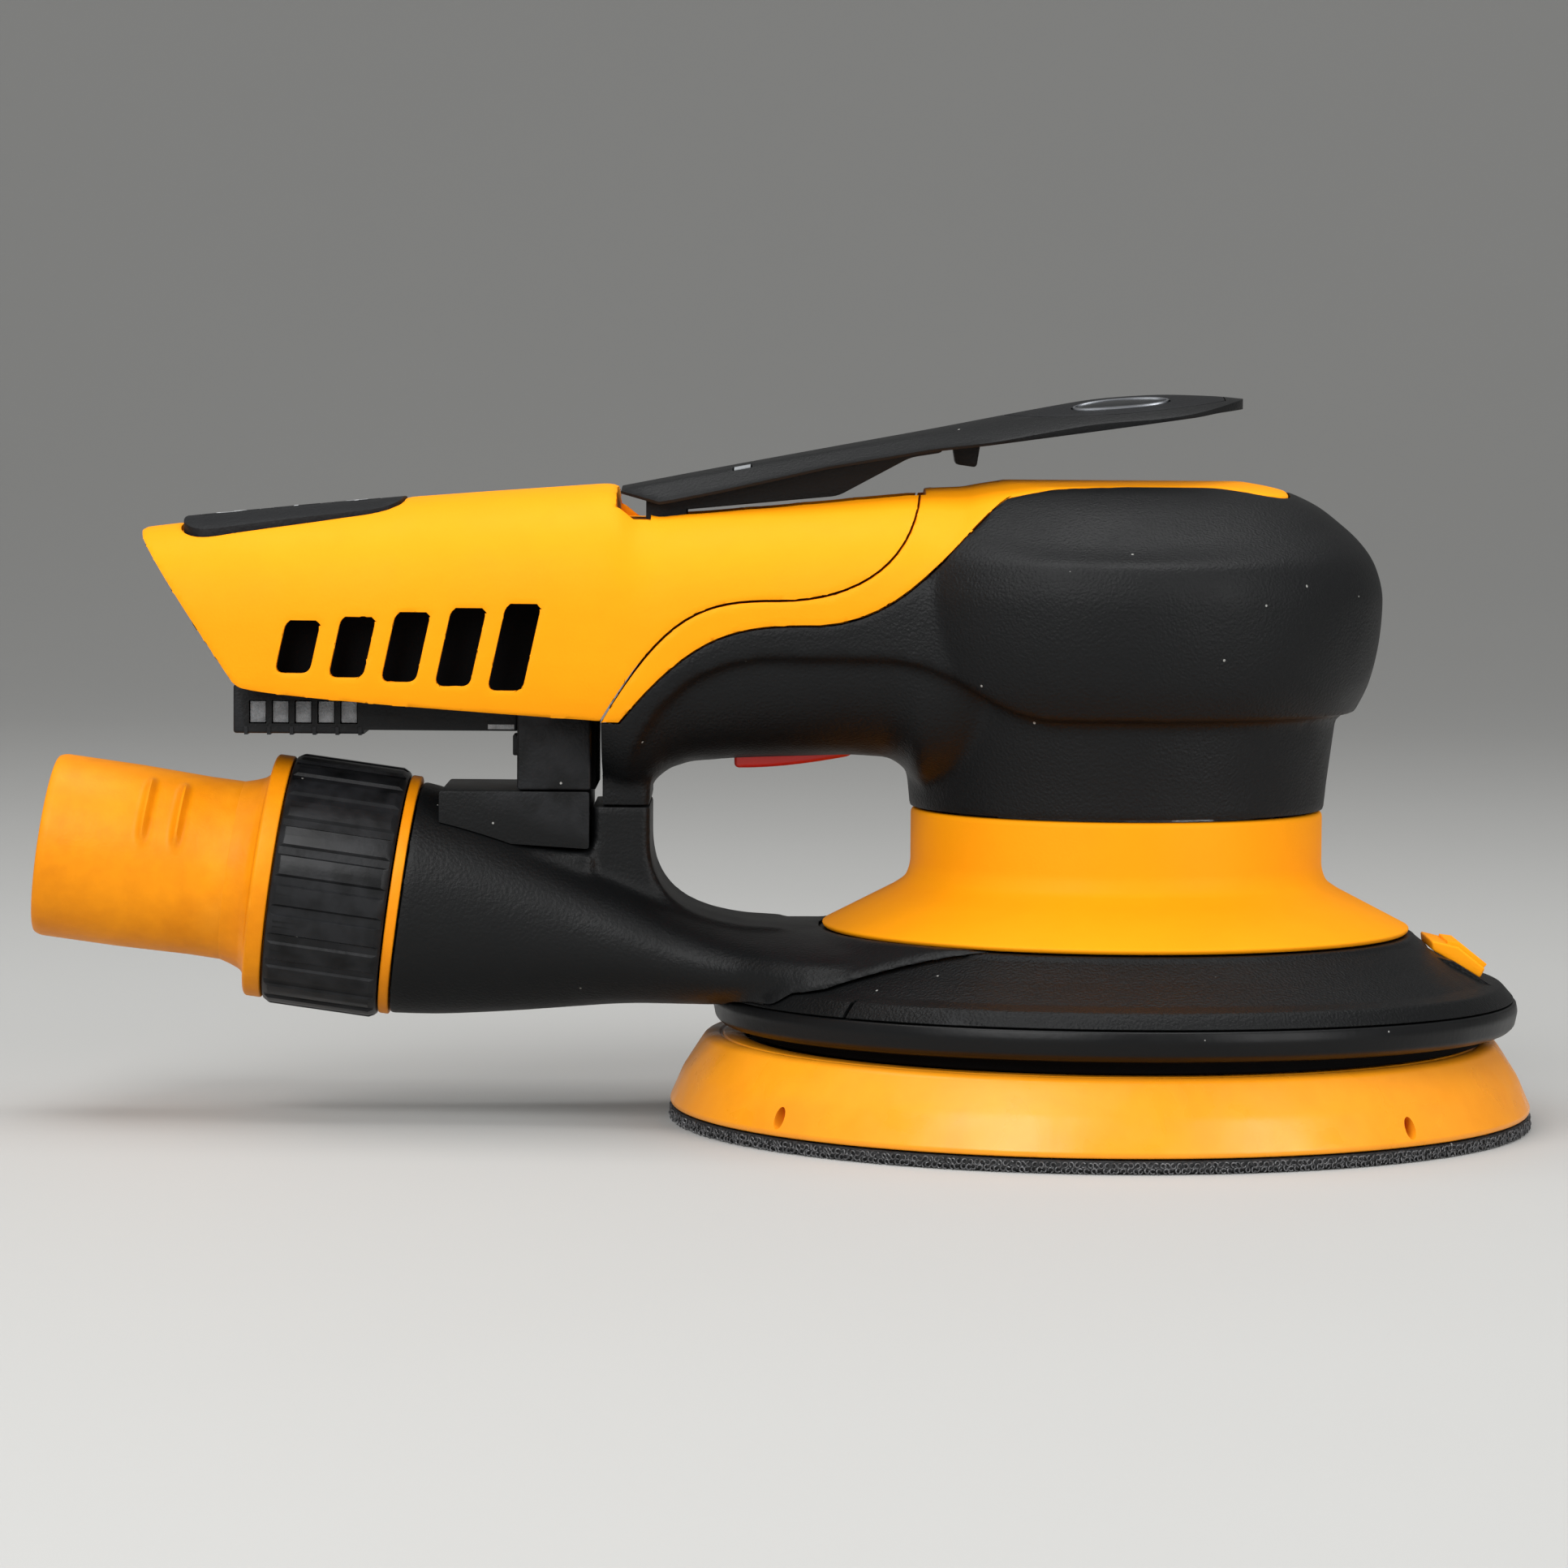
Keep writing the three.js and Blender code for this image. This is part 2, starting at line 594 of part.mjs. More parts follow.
function controlPad() {
  const pad = tailSkin(1.6, -0.8).intersect(planCut(keypadPlan(0), 95, 120, 2));
  const pockets = KEYS.map(([, x, half]) => tailSkin(4, 0.05).intersect(planCut(keyPlan(x, half, 0.35), 95, 120, 2)));
  return cut(pad, ...pockets);
}
const padKey = (x, half) => tailSkin(2.2, 0.85).intersect(planCut(keyPlan(x, half, 0), 95, 120, 2));

// socket that closes the slanted tail end
function powerInlet() {
  const plate = sidePlate(30, [-167.6, 101.4], [-152.2, 78.3], [-150, 79.8], [-165.2, 102.6]);
  const shaped = plate.intersect(handle(WALL + GAP)).intersect(slab(-200, 0, 40, 0, 101.4));
  return cut(union(shaped, atInlet(disc(8.5, -7, 1.2))), atInlet(disc(6.8, -5.4, 5)), atInlet(pinHoles()));
}
const pinHoles = () => union(inletPinAt(-3.4, 1.45, -14, -5), inletPinAt(3.4, 1.45, -14, -5));
const inletPinAt = (y, radius, z0, z1) => moved(disc(radius, z0, z1, 10), 0, y, 0);
const inletPin = (y) => atInlet(inletPinAt(y, 1.15, -8.5, -1.5));

// puts a body onto the socket's axis, +Z pointing out of the tail
function atInlet(body) {
  return moved(body.rotate([0, -123.9, 0]), -159.2, 0, 89.5);
}

const controllerBoard = () => slab(-147, -91, 15, 76.5, 78.1);
const capacitor = () => {
  const can = new THREE.CylinderGeometry(8, 8, 24, FINE);
  can.rotateZ(Math.PI / 2);
  can.translate(-128, 0, 87.2);
  return solid(can);
};
function heatSink() {
  const fins = [-12, -8, -4, 0, 4, 8, 12].map((y) => box([-112, y - 0.8, 80], [-93, y + 0.8, 94]));
  return union(slab(-112, -93, 12.8, 78.5, 81), ...fins);
}

// ---------- lever, trigger and switches ----------
const leverTop = [
  [-86.3, 110], [-70, 113.2], [-50, 117], [-34, 120], [-20.3, 122.7], [-12, 124.3], [-5.7, 125.4], [0, 126],
  [7, 126.4], [14, 126.3], [18, 126.1], [21.2, 125.8],
];
const leverEdge = [
  [-86.3, 108.8], [-79.5, 106.9], [-67.5, 109.4], [-51, 113.2], [-32.4, 116.4], [-3, 120.3], [12.7, 122.5],
  [21.2, 124],
];
const CROWN_R = 34; // radius of the lever's crowned top

function leverPlan(inset) {
  const shape = new THREE.Shape();
  const [back, front, half] = [-86.3 + inset, 3, 16.5 - inset];
  shape.moveTo(back, -half + 3);
  shape.lineTo(-40, -half);
  shape.lineTo(front, -half);
  shape.absellipse(front, 0, 18.2 - inset, half, -Math.PI / 2, Math.PI / 2, false);
  shape.lineTo(-40, half);
  shape.lineTo(back, half - 3);
  return shape;
}

// crowned bar between the lever's edge line and its ridge
function leverForm(drop, floorLift) {
  const stations = leverTop.map(([x]) => x);
  return lofted(stations, 16, (x, turn) => {
    const half = 18;
    const ridge = valueAt(leverTop, x) - drop;
    const floor = valueAt(leverEdge, x) + floorLift;
    const y = half * Math.sin(turn * 2 * Math.PI);
    const crown = ridge - (CROWN_R - Math.sqrt(CROWN_R ** 2 - y ** 2));
    return Math.cos(turn * 2 * Math.PI) > -1e-6 ? [y, Math.max(crown, floor + 0.6)] : [y, floor];
  });
}

const inlayPlan = (grow) => {
  const shape = new THREE.Shape();
  shape.absellipse(0, 0, 20.2 + grow, 13.6 + grow, 0, 2 * Math.PI, false);
  return planCut(shape, 100, 140, 12).intersect(slab(-40, 17.6 + grow, 30, 90, 140));
};

function lever() {
  const top = leverForm(0, 0).intersect(planCut(leverPlan(0), 90, 140));
  const blade = sidePlate(10.5, [-78, 109], [-78, 105.8], [-49, 108.6], [-36.6, 115.3], [-31, 116.2], [-31, 118],
    [-50, 114]);
  const tooth = sidePlate(3.6, [-29.3, 118.5], [-28.6, 114.1], [-25, 113.6], [-24.2, 118.5]);
  const ears = [-9, 9].map((y) => moved(sidePlate(1.5, [-82, 109], [-82, 96], [-76, 96], [-74.8, 109]), 0, y, 0));
  const body = union(top, blade, tooth, ...ears);
  const pocket = cut(leverForm(-5, 0), leverForm(1.3, 0)).intersect(inlayPlan(GAP));
  return cut(body, pocket, ledSeat(), crossBar(1.5, 30, LEVER_PIVOT.x, LEVER_PIVOT.z));
}

function leverInlay() {
  const skin = cut(leverForm(0, 0), leverForm(1, 0)).intersect(inlayPlan(0));
  return cut(skin, badgeCut(-1, GAP), badgeCut(1, GAP));
}

// oval badge on each flank of the lever's crown
function badgeCut(side, grow) {
  const shape = new THREE.Shape();
  shape.absellipse(-0.4, side * 8.2, 8.3 + grow, 3 + grow, 0, 2 * Math.PI, false);
  return planCut(shape, 100, 140, 10);
}
const badge = (side) => cut(leverForm(-0.25, 0), leverForm(0.95, 0)).intersect(badgeCut(side, 0));

const ledSeat = () => box([-67.2, -9.6, 100], [-63.8, -7, 112.4]).add(box([-67.2, -9.6, 112], [-63.8, -7, 130]));
const ledWindow = () => box([-66.9, -9.3, 108], [-64.1, -7.3, 130]).intersect(leverForm(0, 0));

const leverPin = () => crossBar(1.2, 15.8, LEVER_PIVOT.x, LEVER_PIVOT.z);
const triggerPin = () => crossBar(1.2, 10.8, TRIGGER_PIVOT.x, TRIGGER_PIVOT.z);

function trigger() {
  const shape = new THREE.Shape();
  shape.moveTo(-66.6, 61.3);
  shape.quadraticCurveTo(-58, 61.2, -46.4, 63.5);
  shape.lineTo(-44.6, 66);
  shape.lineTo(-44.6, 71.2);
  shape.lineTo(-49.4, 71.2);
  shape.lineTo(-51.5, 69.2);
  shape.lineTo(-66.6, 69.2);
  return cut(sideCut(shape, 5.9), crossBar(1.5, 30, TRIGGER_PIVOT.x, TRIGGER_PIVOT.z));
}

// torsion spring between the ears, wound round the lever's pin
function leverSpring() {
  const turns = 3;
  const reach = 1.85;
  const spiral = Array.from({ length: turns * 8 + 1 }, (_, i) => {
    const angle = (i / 8) * 2 * Math.PI;
    const y = -3 + (6 * i) / (turns * 8);
    return new THREE.Vector3(LEVER_PIVOT.x + reach * Math.sin(angle), y, LEVER_PIVOT.z - reach * Math.cos(angle));
  });
  const foot = new THREE.Vector3(LEVER_PIVOT.x + 9, -3, LEVER_PIVOT.z - 4);
  const path = new THREE.CatmullRomCurve3([foot, ...spiral]);
  const wire = new THREE.Shape();
  wire.absarc(0, 0, 0.45, 0, 2 * Math.PI, false);
  const geometry = new THREE.ExtrudeGeometry(wire, { steps: 30, extrudePath: path, curveSegments: 3 });
  return solid(geometry);
}

const leverSwitch = () => union(slab(-33, -20.5, 5, 95, 103), slab(-28.5, -25, 1.8, 102, 108));
const triggerSwitch = () => union(slab(-66, -52, 6, 72.8, 81), slab(-63, -60, 1.5, 70.6, 73));

// ---------- motor and orbital drive ----------
function statorCore() {
  const slots = around(6, 22.5, () => box([-5.2, -1.3, 50], [5.2, 1.3, 95]));
  return cut(ring(16.2, 30.2, 54, 84), ...slots);
}
const windingRing = (z0, z1) => turned([[17.4, z0], [27, z0], [28.6, (z0 + z1) / 2], [27, z1], [17.4, z1]]);

function rotorShaft() {
  const shaft = disc(4, 36, 97.2);
  const cup = disc(15, 25.2, 38, ROUND);
  const bore = moved(disc(11.3, 20, 36.3), -ORBIT, 0, 0);
  return cut(union(shaft, cup), bore);
}
const rotorCore = () => ring(4.3, 15.5, 54, 84, 24);

function fanWheel() {
  const blades = around(7, 20, () => box([-9.5, -0.7, 40.6], [9.5, 0.7, 44]));
  return union(ring(4.3, 31, 39.6, 41, ROUND), ring(4.3, 8, 39.6, 44.4, FINE), ...blades);
}

// half-moon weight opposite the pad's offset
function counterweight() {
  return ring(15.3, 29, 27, 38, ROUND).intersect(box([1, -28, 20], [40, 28, 45]));
}
const bearing = (rIn, rOut, z0, z1) => turned([
  [rIn, z0], [rIn + 1.9, z0], [(rIn + rOut) / 2, z0 + 0.5], [rOut - 1.9, z0], [rOut, z0],
  [rOut, z1], [rIn, z1],
], FINE);

function motorCap() {
  const plate = turned([[10.3, 90.4], [30, 90.4], [30, 92.2], [13, 92.2], [13, 99], [6, 99], [6, 97.4], [10.3, 97.4]]);
  return cut(plate, ...around(3, 24, () => disc(1.9, 85, 95, 8)));
}
const capScrew = (turn) => {
  const screw = union(disc(1.5, 89, 92.6, 8), disc(3, 92.5, 94.3, 8));
  return moved(screw, 24, 0, 0).rotate([0, 0, turn]);
};

// ---------- pad ----------
const atPad = (body) => moved(body, -ORBIT, 0, 0);
const dustHoles = () => around(DUST_HOLES, DUST_PCD_R, () => disc(DUST_HOLE_R, -5, 30, 8), 30);

function padFoam() {
  const foam = turned([
    [0, FOAM_BOTTOM], [PAD_R - 0.2, FOAM_BOTTOM], [PAD_R, 3.2], [72.7, 8.7], [69.8, 13.2], [68.9, 14.4],
    [67.4, PAD_TOP], [PLATE_R + GAP, PAD_TOP], [PLATE_R + GAP, 10.3], [0, 10.3],
  ], PAD_FACETS);
  const sideHoles = around(4, 71, () => sideHole(), 41);
  return atPad(cut(foam, ...dustHoles(), ...sideHoles, disc(9, 0, 20)));
}

const sideHole = () => {
  const bore = new THREE.CylinderGeometry(1.1, 1.1, 14, 8);
  bore.rotateZ(Math.PI / 2);
  bore.scale(1, 1, 1.6);
  bore.translate(0, 0, 5.6);
  return solid(bore);
};

function hookFace() {
  const layer = turned([[0, 0], [PAD_R - 0.6, 0], [PAD_R, 0.5], [PAD_R, HOOK_THICK], [0, HOOK_THICK]], PAD_FACETS);
  return atPad(cut(layer, ...dustHoles()));
}

function backingPlate() {
  const plate = turned([
    [0, 10.6], [PLATE_R, 10.6], [PLATE_R, 13.4], [56, 13.8], [18, 13.8], [14, 19.5], [0, 19.5],
  ]);
  return atPad(cut(plate, ...dustHoles(), disc(3.3, 0, 30), disc(7.5, 0, 14.5)));
}
const padBolt = () => atPad(union(disc(6.8, 10.7, 14.2, 6), disc(2.9, 14, 24.6, 12)));
function padSpindle() {
  const spindle = union(disc(12, 19.8, 22.6, FINE), disc(5, 22, 35.9, FINE));
  return atPad(cut(spindle, disc(3.2, 15, 26, 12)));
}

// ---------- assembly ----------
const sander = new THREE.Group();
const add = (name, material, body) => sander.add(node(name, material, body));

add('rear_cover', yellowPlastic(), rearCover());
add('main_housing', yellowPlastic(), mainHousing());
add('rubber_grip', blackRubber(), rubberGrip());
add('motor_bell', yellowPlastic(), motorBell());
add('dust_shroud', blackPlastic(), dustShroud());
add('edge_ring', glossBlack(), edgeRing());
add('brake_seal', blackRubber(), brakeSeal());
add('ring_latch', yellowPlastic(), ringLatch());
add('dust_duct', blackPlastic(), dustDuct());
add('duct_saddle', blackPlastic(), ductSaddle());
add('duct_bracket', blackPlastic(), ductBracket());
add('bracket_screw', steel(), bracketScrew());
add('port_collar', yellowPlastic(), portCollar());
add('lock_ring', glossBlack(), lockRing());
add('hose_spigot', yellowPlastic(), hoseSpigot());
add('filter_frame', blackPlastic(), filterFrame());
add('filter_fleece', greyFleece(), filterFleece());
add('control_pad', blackRubber(), controlPad());
for (const [name, x, half] of KEYS) add(name, blackRubber(), padKey(x, half));
add('power_inlet', blackPlastic(), powerInlet());
add('inlet_pin_live', brass(), inletPin(-3.4));
add('inlet_pin_neutral', brass(), inletPin(3.4));
add('controller_board', boardGreen(), controllerBoard());
add('capacitor', glossBlack(), capacitor());
add('heat_sink', aluminium(), heatSink());
add('lever', blackPlastic(), lever());
add('lever_inlay', blackRubber(), leverInlay());
add('lever_badge_right', steel(), badge(-1));
add('lever_badge_left', steel(), badge(1));
add('led_window', lampWhite(), ledWindow());
add('lever_pin', steel(), leverPin());
add('lever_spring', steel(), leverSpring());
add('lever_switch', blackPlastic(), leverSwitch());
add('trigger', redPlastic(), trigger());
add('trigger_pin', steel(), triggerPin());
add('trigger_switch', blackPlastic(), triggerSwitch());
add('stator_core', steel(), statorCore());
add('winding_lower', copper(), windingRing(49.2, 53.7));
add('winding_upper', copper(), windingRing(84.3, 88.6));
add('motor_cap', aluminium(), motorCap());
for (const i of [0, 1, 2]) add(`cap_screw_${i + 1}`, steel(), capScrew(120 * i));
add('bearing_upper', steel(), bearing(4.3, 10, 91, 97));
add('bearing_lower', steel(), bearing(4.3, 11, 45.3, 48.3));
add('rotor_shaft', steel(), rotorShaft());
add('rotor_core', steel(), rotorCore());
add('fan_wheel', glossBlack(), fanWheel());
add('counterweight', brass(), counterweight());
add('spindle_bearing', steel(), atPad(bearing(5.3, 11, 26, 36)));
add('pad_spindle', steel(), padSpindle());
add('backing_plate', blackPlastic(), backingPlate());
add('pad_bolt', steel(), padBolt());
add('pad_foam', padYellow(), padFoam());
add('hook_face', blackRubber(), hookFace());

export default sander;
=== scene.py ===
import logging
import math
import random
from dataclasses import dataclass, field
from enum import Enum
from typing import Callable

import bmesh
import bpy
from mathutils import Matrix, Vector, kdtree


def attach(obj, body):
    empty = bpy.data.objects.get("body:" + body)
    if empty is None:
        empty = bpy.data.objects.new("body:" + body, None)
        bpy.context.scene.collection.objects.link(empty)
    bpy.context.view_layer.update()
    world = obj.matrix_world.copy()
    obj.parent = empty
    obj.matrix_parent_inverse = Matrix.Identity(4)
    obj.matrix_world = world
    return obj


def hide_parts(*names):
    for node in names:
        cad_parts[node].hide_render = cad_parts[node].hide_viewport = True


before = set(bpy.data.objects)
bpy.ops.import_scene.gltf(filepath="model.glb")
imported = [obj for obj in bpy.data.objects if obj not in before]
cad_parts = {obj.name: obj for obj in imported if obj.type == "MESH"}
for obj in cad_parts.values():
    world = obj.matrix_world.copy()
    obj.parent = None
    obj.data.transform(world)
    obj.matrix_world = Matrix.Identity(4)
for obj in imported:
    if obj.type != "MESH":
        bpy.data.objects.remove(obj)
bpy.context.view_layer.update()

log = logging.getLogger("sander")

MM = 0.001
GAP = 0.3  # air between touching pieces
WALL = 2.5  # moulded wall and rubber thickness
STEPS = 144  # faces round the large turned parts
FAR = 300.0  # reach of a cutting body past everything

Point = tuple[float, float]
Table = list[Point]
Obj = bpy.types.Object


# ---------- modelling with Blender's operators, in millimetres ----------
class Joining(Enum):
    """How one body changes another."""

    CUT = "DIFFERENCE"
    KEEP = "INTERSECT"
    ADD = "UNION"


def only(body: Obj) -> Obj:
    """Selects one body alone and makes it active. Returns it."""
    bpy.ops.object.select_all(action="DESELECT")
    body.select_set(True)
    bpy.context.view_layer.objects.active = body
    return body


def copied(body: Obj) -> Obj:
    """Returns a copy of a body with its own mesh."""
    twin = body.copy()
    twin.data = body.data.copy()
    bpy.context.scene.collection.objects.link(twin)
    return twin


def thrown_away(body: Obj) -> None:
    """Removes a body and its mesh."""
    mesh = body.data
    bpy.data.objects.remove(body)
    bpy.data.meshes.remove(mesh)


def combined(body: Obj, how: Joining, *tools: Obj) -> Obj:
    """Cuts, keeps or adds tools to a body, and uses the tools up.

    Args:
        body: the body that changes.
        how: whether the tools are cut away, intersected or added.
        tools: the closed bodies to apply, in order.

    Returns:
        The changed body.
    """
    for tool in tools:
        only(body)
        step = body.modifiers.new("combine", "BOOLEAN")
        step.operation = how.value
        step.object = tool
        step.solver = "MANIFOLD"
        bpy.ops.object.modifier_apply(modifier=step.name)
        thrown_away(tool)
        if not body.data.polygons:
            raise ValueError(f"nothing is left of {body.name}")
    return body


def cut(body: Obj, *tools: Obj) -> Obj:
    """Returns the body with the tools cut away."""
    return combined(body, Joining.CUT, *tools)


def kept(body: Obj, *tools: Obj) -> Obj:
    """Returns what the body shares with each tool."""
    return combined(body, Joining.KEEP, *tools)


def added(body: Obj, *tools: Obj) -> Obj:
    """Returns the body with the tools joined to it."""
    return combined(body, Joining.ADD, *tools)


def placed(body: Obj, matrix: Matrix) -> Obj:
    """Moves a body's mesh by a matrix. Returns the body."""
    body.data.transform(matrix)
    body.data.update()
    return body


def shifted(body: Obj, x: float, y: float, z: float) -> Obj:
    """Moves a body's mesh by x, y and z. Returns the body."""
    return placed(body, Matrix.Translation((x, y, z)))


def outline_face(points: list[Vector]) -> Obj:
    """Returns a new body that is one flat face through the points."""
    bpy.ops.object.select_all(action="DESELECT")
    bpy.ops.mesh.primitive_circle_add(vertices=len(points), radius=1.0, fill_type="NGON")
    face = bpy.context.object
    for vertex, point in zip(face.data.vertices, points):
        vertex.co = point
    return face


def closed_up(body: Obj) -> Obj:
    """Turns a body's faces outwards. Returns the body."""
    only(body)
    bpy.ops.object.mode_set(mode="EDIT")
    bpy.ops.mesh.select_all(action="SELECT")
    bpy.ops.mesh.normals_make_consistent(inside=False)
    bpy.ops.object.mode_set(mode="OBJECT")
    return body


def pulled(points: list[Vector], offset: Vector) -> Obj:
    """Returns the prism that a flat outline makes when it is pulled along an offset."""
    body = only(outline_face(points))
    bpy.ops.object.mode_set(mode="EDIT")
    bpy.ops.mesh.select_all(action="SELECT")
    bpy.ops.mesh.extrude_region_move(TRANSFORM_OT_translate={"value": offset})
    bpy.ops.object.mode_set(mode="OBJECT")
    return closed_up(body)


def lofted(rings: list[list[Vector]]) -> Obj:
    """Extrudes the first ring of points through all the others.

    Args:
        rings: rings with the same number of points, in order along the body.

    Returns:
        The closed body.
    """
    body = only(outline_face(rings[0]))
    bpy.ops.object.mode_set(mode="EDIT")
    bpy.ops.mesh.select_all(action="SELECT")
    for ring in rings[1:]:
        bpy.ops.mesh.extrude_region_move()
        mesh = bmesh.from_edit_mesh(body.data)
        chosen = [vertex for vertex in mesh.verts if vertex.select]
        for vertex, point in zip(chosen, ring):
            vertex.co = point
        bmesh.update_edit_mesh(body.data)
    bpy.ops.object.mode_set(mode="OBJECT")
    return closed_up(body)


def spun(profile: Table, steps: int = STEPS) -> Obj:
    """Returns the body that a closed profile of radius and height makes when spun about +Z."""
    bpy.ops.object.select_all(action="DESELECT")
    bpy.ops.mesh.primitive_circle_add(vertices=len(profile), radius=1.0, fill_type="NOTHING")
    body = bpy.context.object
    for vertex, (radius, height) in zip(body.data.vertices, profile):
        vertex.co = (radius, 0, height)
    bpy.ops.object.mode_set(mode="EDIT")
    bpy.ops.mesh.select_all(action="SELECT")
    bpy.ops.mesh.spin(steps=steps, angle=2 * math.pi, center=(0, 0, 0), axis=(0, 0, 1))
    bpy.ops.mesh.select_all(action="SELECT")
    bpy.ops.mesh.remove_doubles(threshold=1e-3)
    bpy.ops.mesh.delete_loose()
    bpy.ops.object.mode_set(mode="OBJECT")
    return closed_up(body)


def disc(radius: float, low: float, high: float, steps: int = 48) -> Obj:
    """Returns a round bar along +Z between two heights."""
    return spun([(0, low), (radius, low), (radius, high), (0, high)], steps)


def block(low: tuple[float, float, float], high: tuple[float, float, float]) -> Obj:
    """Returns a box from its lowest to its highest corner."""
    corners = [(low[0], low[1]), (high[0], low[1]), (high[0], high[1]), (low[0], high[1])]
    return Outline(corners).plan(low[2], high[2])


def slab(x0: float, x1: float, half_width: float, z0: float, z1: float) -> Obj:
    """Returns a box with the same reach to both sides of the middle plane."""
    return block((x0, -half_width, z0), (x1, half_width, z1))


def cross_bar(radius: float, half_length: float, x: float, z: float) -> Obj:
    """Returns a round bar along Y, centred on the middle plane."""
    bar = disc(radius, -half_length, half_length, 24)
    return placed(bar, Matrix.Translation((x, 0, z)) @ Matrix.Rotation(math.pi / 2, 4, "X"))


def bevelled(body: Obj, width: float, segments: int = 3, angle: float = 32.0) -> Obj:
    """Rounds the edges of a body that are sharper than an angle. Returns the body."""
    only(body)
    step = body.modifiers.new("bevel", "BEVEL")
    step.width = width
    step.segments = segments
    step.limit_method = "ANGLE"
    step.angle_limit = math.radians(angle)
    bpy.ops.object.modifier_apply(modifier=step.name)
    return body


def flowed(body: Obj, voxel: float, passes: int) -> Obj:
    """Remeshes overlapping forms into one skin and lets its joins flow together.

    Args:
        body: the form to remesh.
        voxel: size of the new faces.
        passes: smoothing passes, more for softer joins.

    Returns:
        The remeshed body.
    """
    only(body)
    step = body.modifiers.new("skin", "REMESH")
    step.mode = "VOXEL"
    step.voxel_size = voxel
    bpy.ops.object.modifier_apply(modifier=step.name)
    step = body.modifiers.new("flow", "SMOOTH")
    step.factor = 0.5
    step.iterations = passes
    bpy.ops.object.modifier_apply(modifier=step.name)
    return body


def joined(first: Obj, *others: Obj) -> Obj:
    """Returns one object that holds all the meshes, without cutting them."""
    only(first)
    for other in others:
        other.select_set(True)
    bpy.ops.object.join()
    return first


def softened(body: Obj, depth: float = 0.28, reach: float = 0.9, sharp: float = 38.0) -> Obj:
    """Rounds the sharp outer edges of a finely meshed body by pressing them in.

    Args:
        body: the body to soften.
        depth: how far an edge is pressed in.
        reach: how far from an edge the skin still moves.
        sharp: the least turn of an edge, in degrees, that counts as sharp.

    Returns:
        The softened body.
    """
    mesh = bmesh.new()
    mesh.from_mesh(body.data)
    mesh.normal_update()
    limit = math.radians(sharp)
    spots = []
    for edge in mesh.edges:
        if len(edge.link_faces) == 2 and edge.calc_face_angle_signed(0.0) > limit:
            start, end = edge.verts[0].co, edge.verts[1].co
            parts = max(1, int((end - start).length / (reach * 0.3)))
            spots += [start.lerp(end, i / parts) for i in range(parts + 1)]
    tree = kdtree.KDTree(max(1, len(spots)))
    for i, spot in enumerate(spots):
        tree.insert(spot, i)
    tree.balance()
    moves = []
    for vertex in mesh.verts:
        distance = tree.find(vertex.co)[2] if spots else reach
        if distance < reach:
            moves.append((vertex, vertex.normal * depth * (1 - distance / reach) ** 2))
    for vertex, move in moves:
        vertex.co -= move
    mesh.to_mesh(body.data)
    mesh.free()
    return body


def finished(
    body: Obj,
    name: str,
    finish: "Finish",
    rides_on: str,
    stands_for: tuple[str, ...] = (),
    smooth: float = 40.0,
) -> Obj:
    """Brings a body to metres, dresses it and hands it to the frame.

    Args:
        body: the modelled body, in millimetres.
        name: the piece's name.
        finish: what its surface looks like.
        rides_on: the moving body that carries it.
        stands_for: the CAD nodes that it is shown in place of.
        smooth: edges that turn less than this, in degrees, are shaded smooth.

    Returns:
        The finished piece.
    """
    placed(body, Matrix.Scale(MM, 4))
    body.name = name
    body.data.name = name
    body.data.materials.clear()
    body.data.materials.append(finish.material())
    only(body)
    bpy.ops.object.shade_smooth_by_angle(angle=math.radians(smooth))
    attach(body, rides_on)
    if stands_for:
        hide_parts(*stands_for)
    log.info("%s: %d faces", name, len(body.data.polygons))
    return body


@dataclass
class Outline:
    """A closed flat outline, drawn point by point in millimetres."""

    points: Table = field(default_factory=list)

    def line(self, *points: Point) -> "Outline":
        """Adds straight lines to the points. Returns the outline."""
        self.points += points
        return self

    def curve(self, first: Point, second: Point, end: Point, steps: int = 16) -> "Outline":
        """Adds a curve from the last point, steered by two handles. Returns the outline."""
        start = self.points[-1]
        for i in range(1, steps + 1):
            t = i / steps
            weights = ((1 - t) ** 3, 3 * t * (1 - t) ** 2, 3 * t * t * (1 - t), t**3)
            parts = list(zip(weights, (start, first, second, end)))
            self.points.append((sum(w * p[0] for w, p in parts), sum(w * p[1] for w, p in parts)))
        return self

    def bend(self, handle: Point, end: Point, steps: int = 12) -> "Outline":
        """Adds a curve from the last point, steered by one handle. Returns the outline."""
        start = self.points[-1]
        first = tuple((a + 2 * b) / 3 for a, b in zip(start, handle))
        second = tuple((a + 2 * b) / 3 for a, b in zip(end, handle))
        return self.curve(first, second, end, steps)

    def arc(self, centre: Point, radii: Point, start: float, stop: float, steps: int = 24) -> "Outline":
        """Adds part of an oval between two angles in degrees. Returns the outline."""
        for i in range(steps + 1):
            angle = math.radians(start + (stop - start) * i / steps)
            across, up = radii[0] * math.cos(angle), radii[1] * math.sin(angle)
            self.points.append((centre[0] + across, centre[1] + up))
        return self

    def side(self, half_width: float, middle: float = 0.0) -> Obj:
        """Returns the prism of an outline in x and z, with its width along Y."""
        points = [Vector((x, middle - half_width, z)) for x, z in self.points]
        return pulled(points, Vector((0, 2 * half_width, 0)))

    def plan(self, low: float, high: float) -> Obj:
        """Returns the prism of an outline in x and y, between two heights."""
        points = [Vector((x, y, low)) for x, y in self.points]
        return pulled(points, Vector((0, 0, high - low)))


def oval(x: float, y: float, half_x: float, half_y: float, steps: int = 64) -> Outline:
    """Returns a closed oval outline."""
    return Outline().arc((x, y), (half_x, half_y), 0, 360 * (1 - 1 / steps), steps - 1)


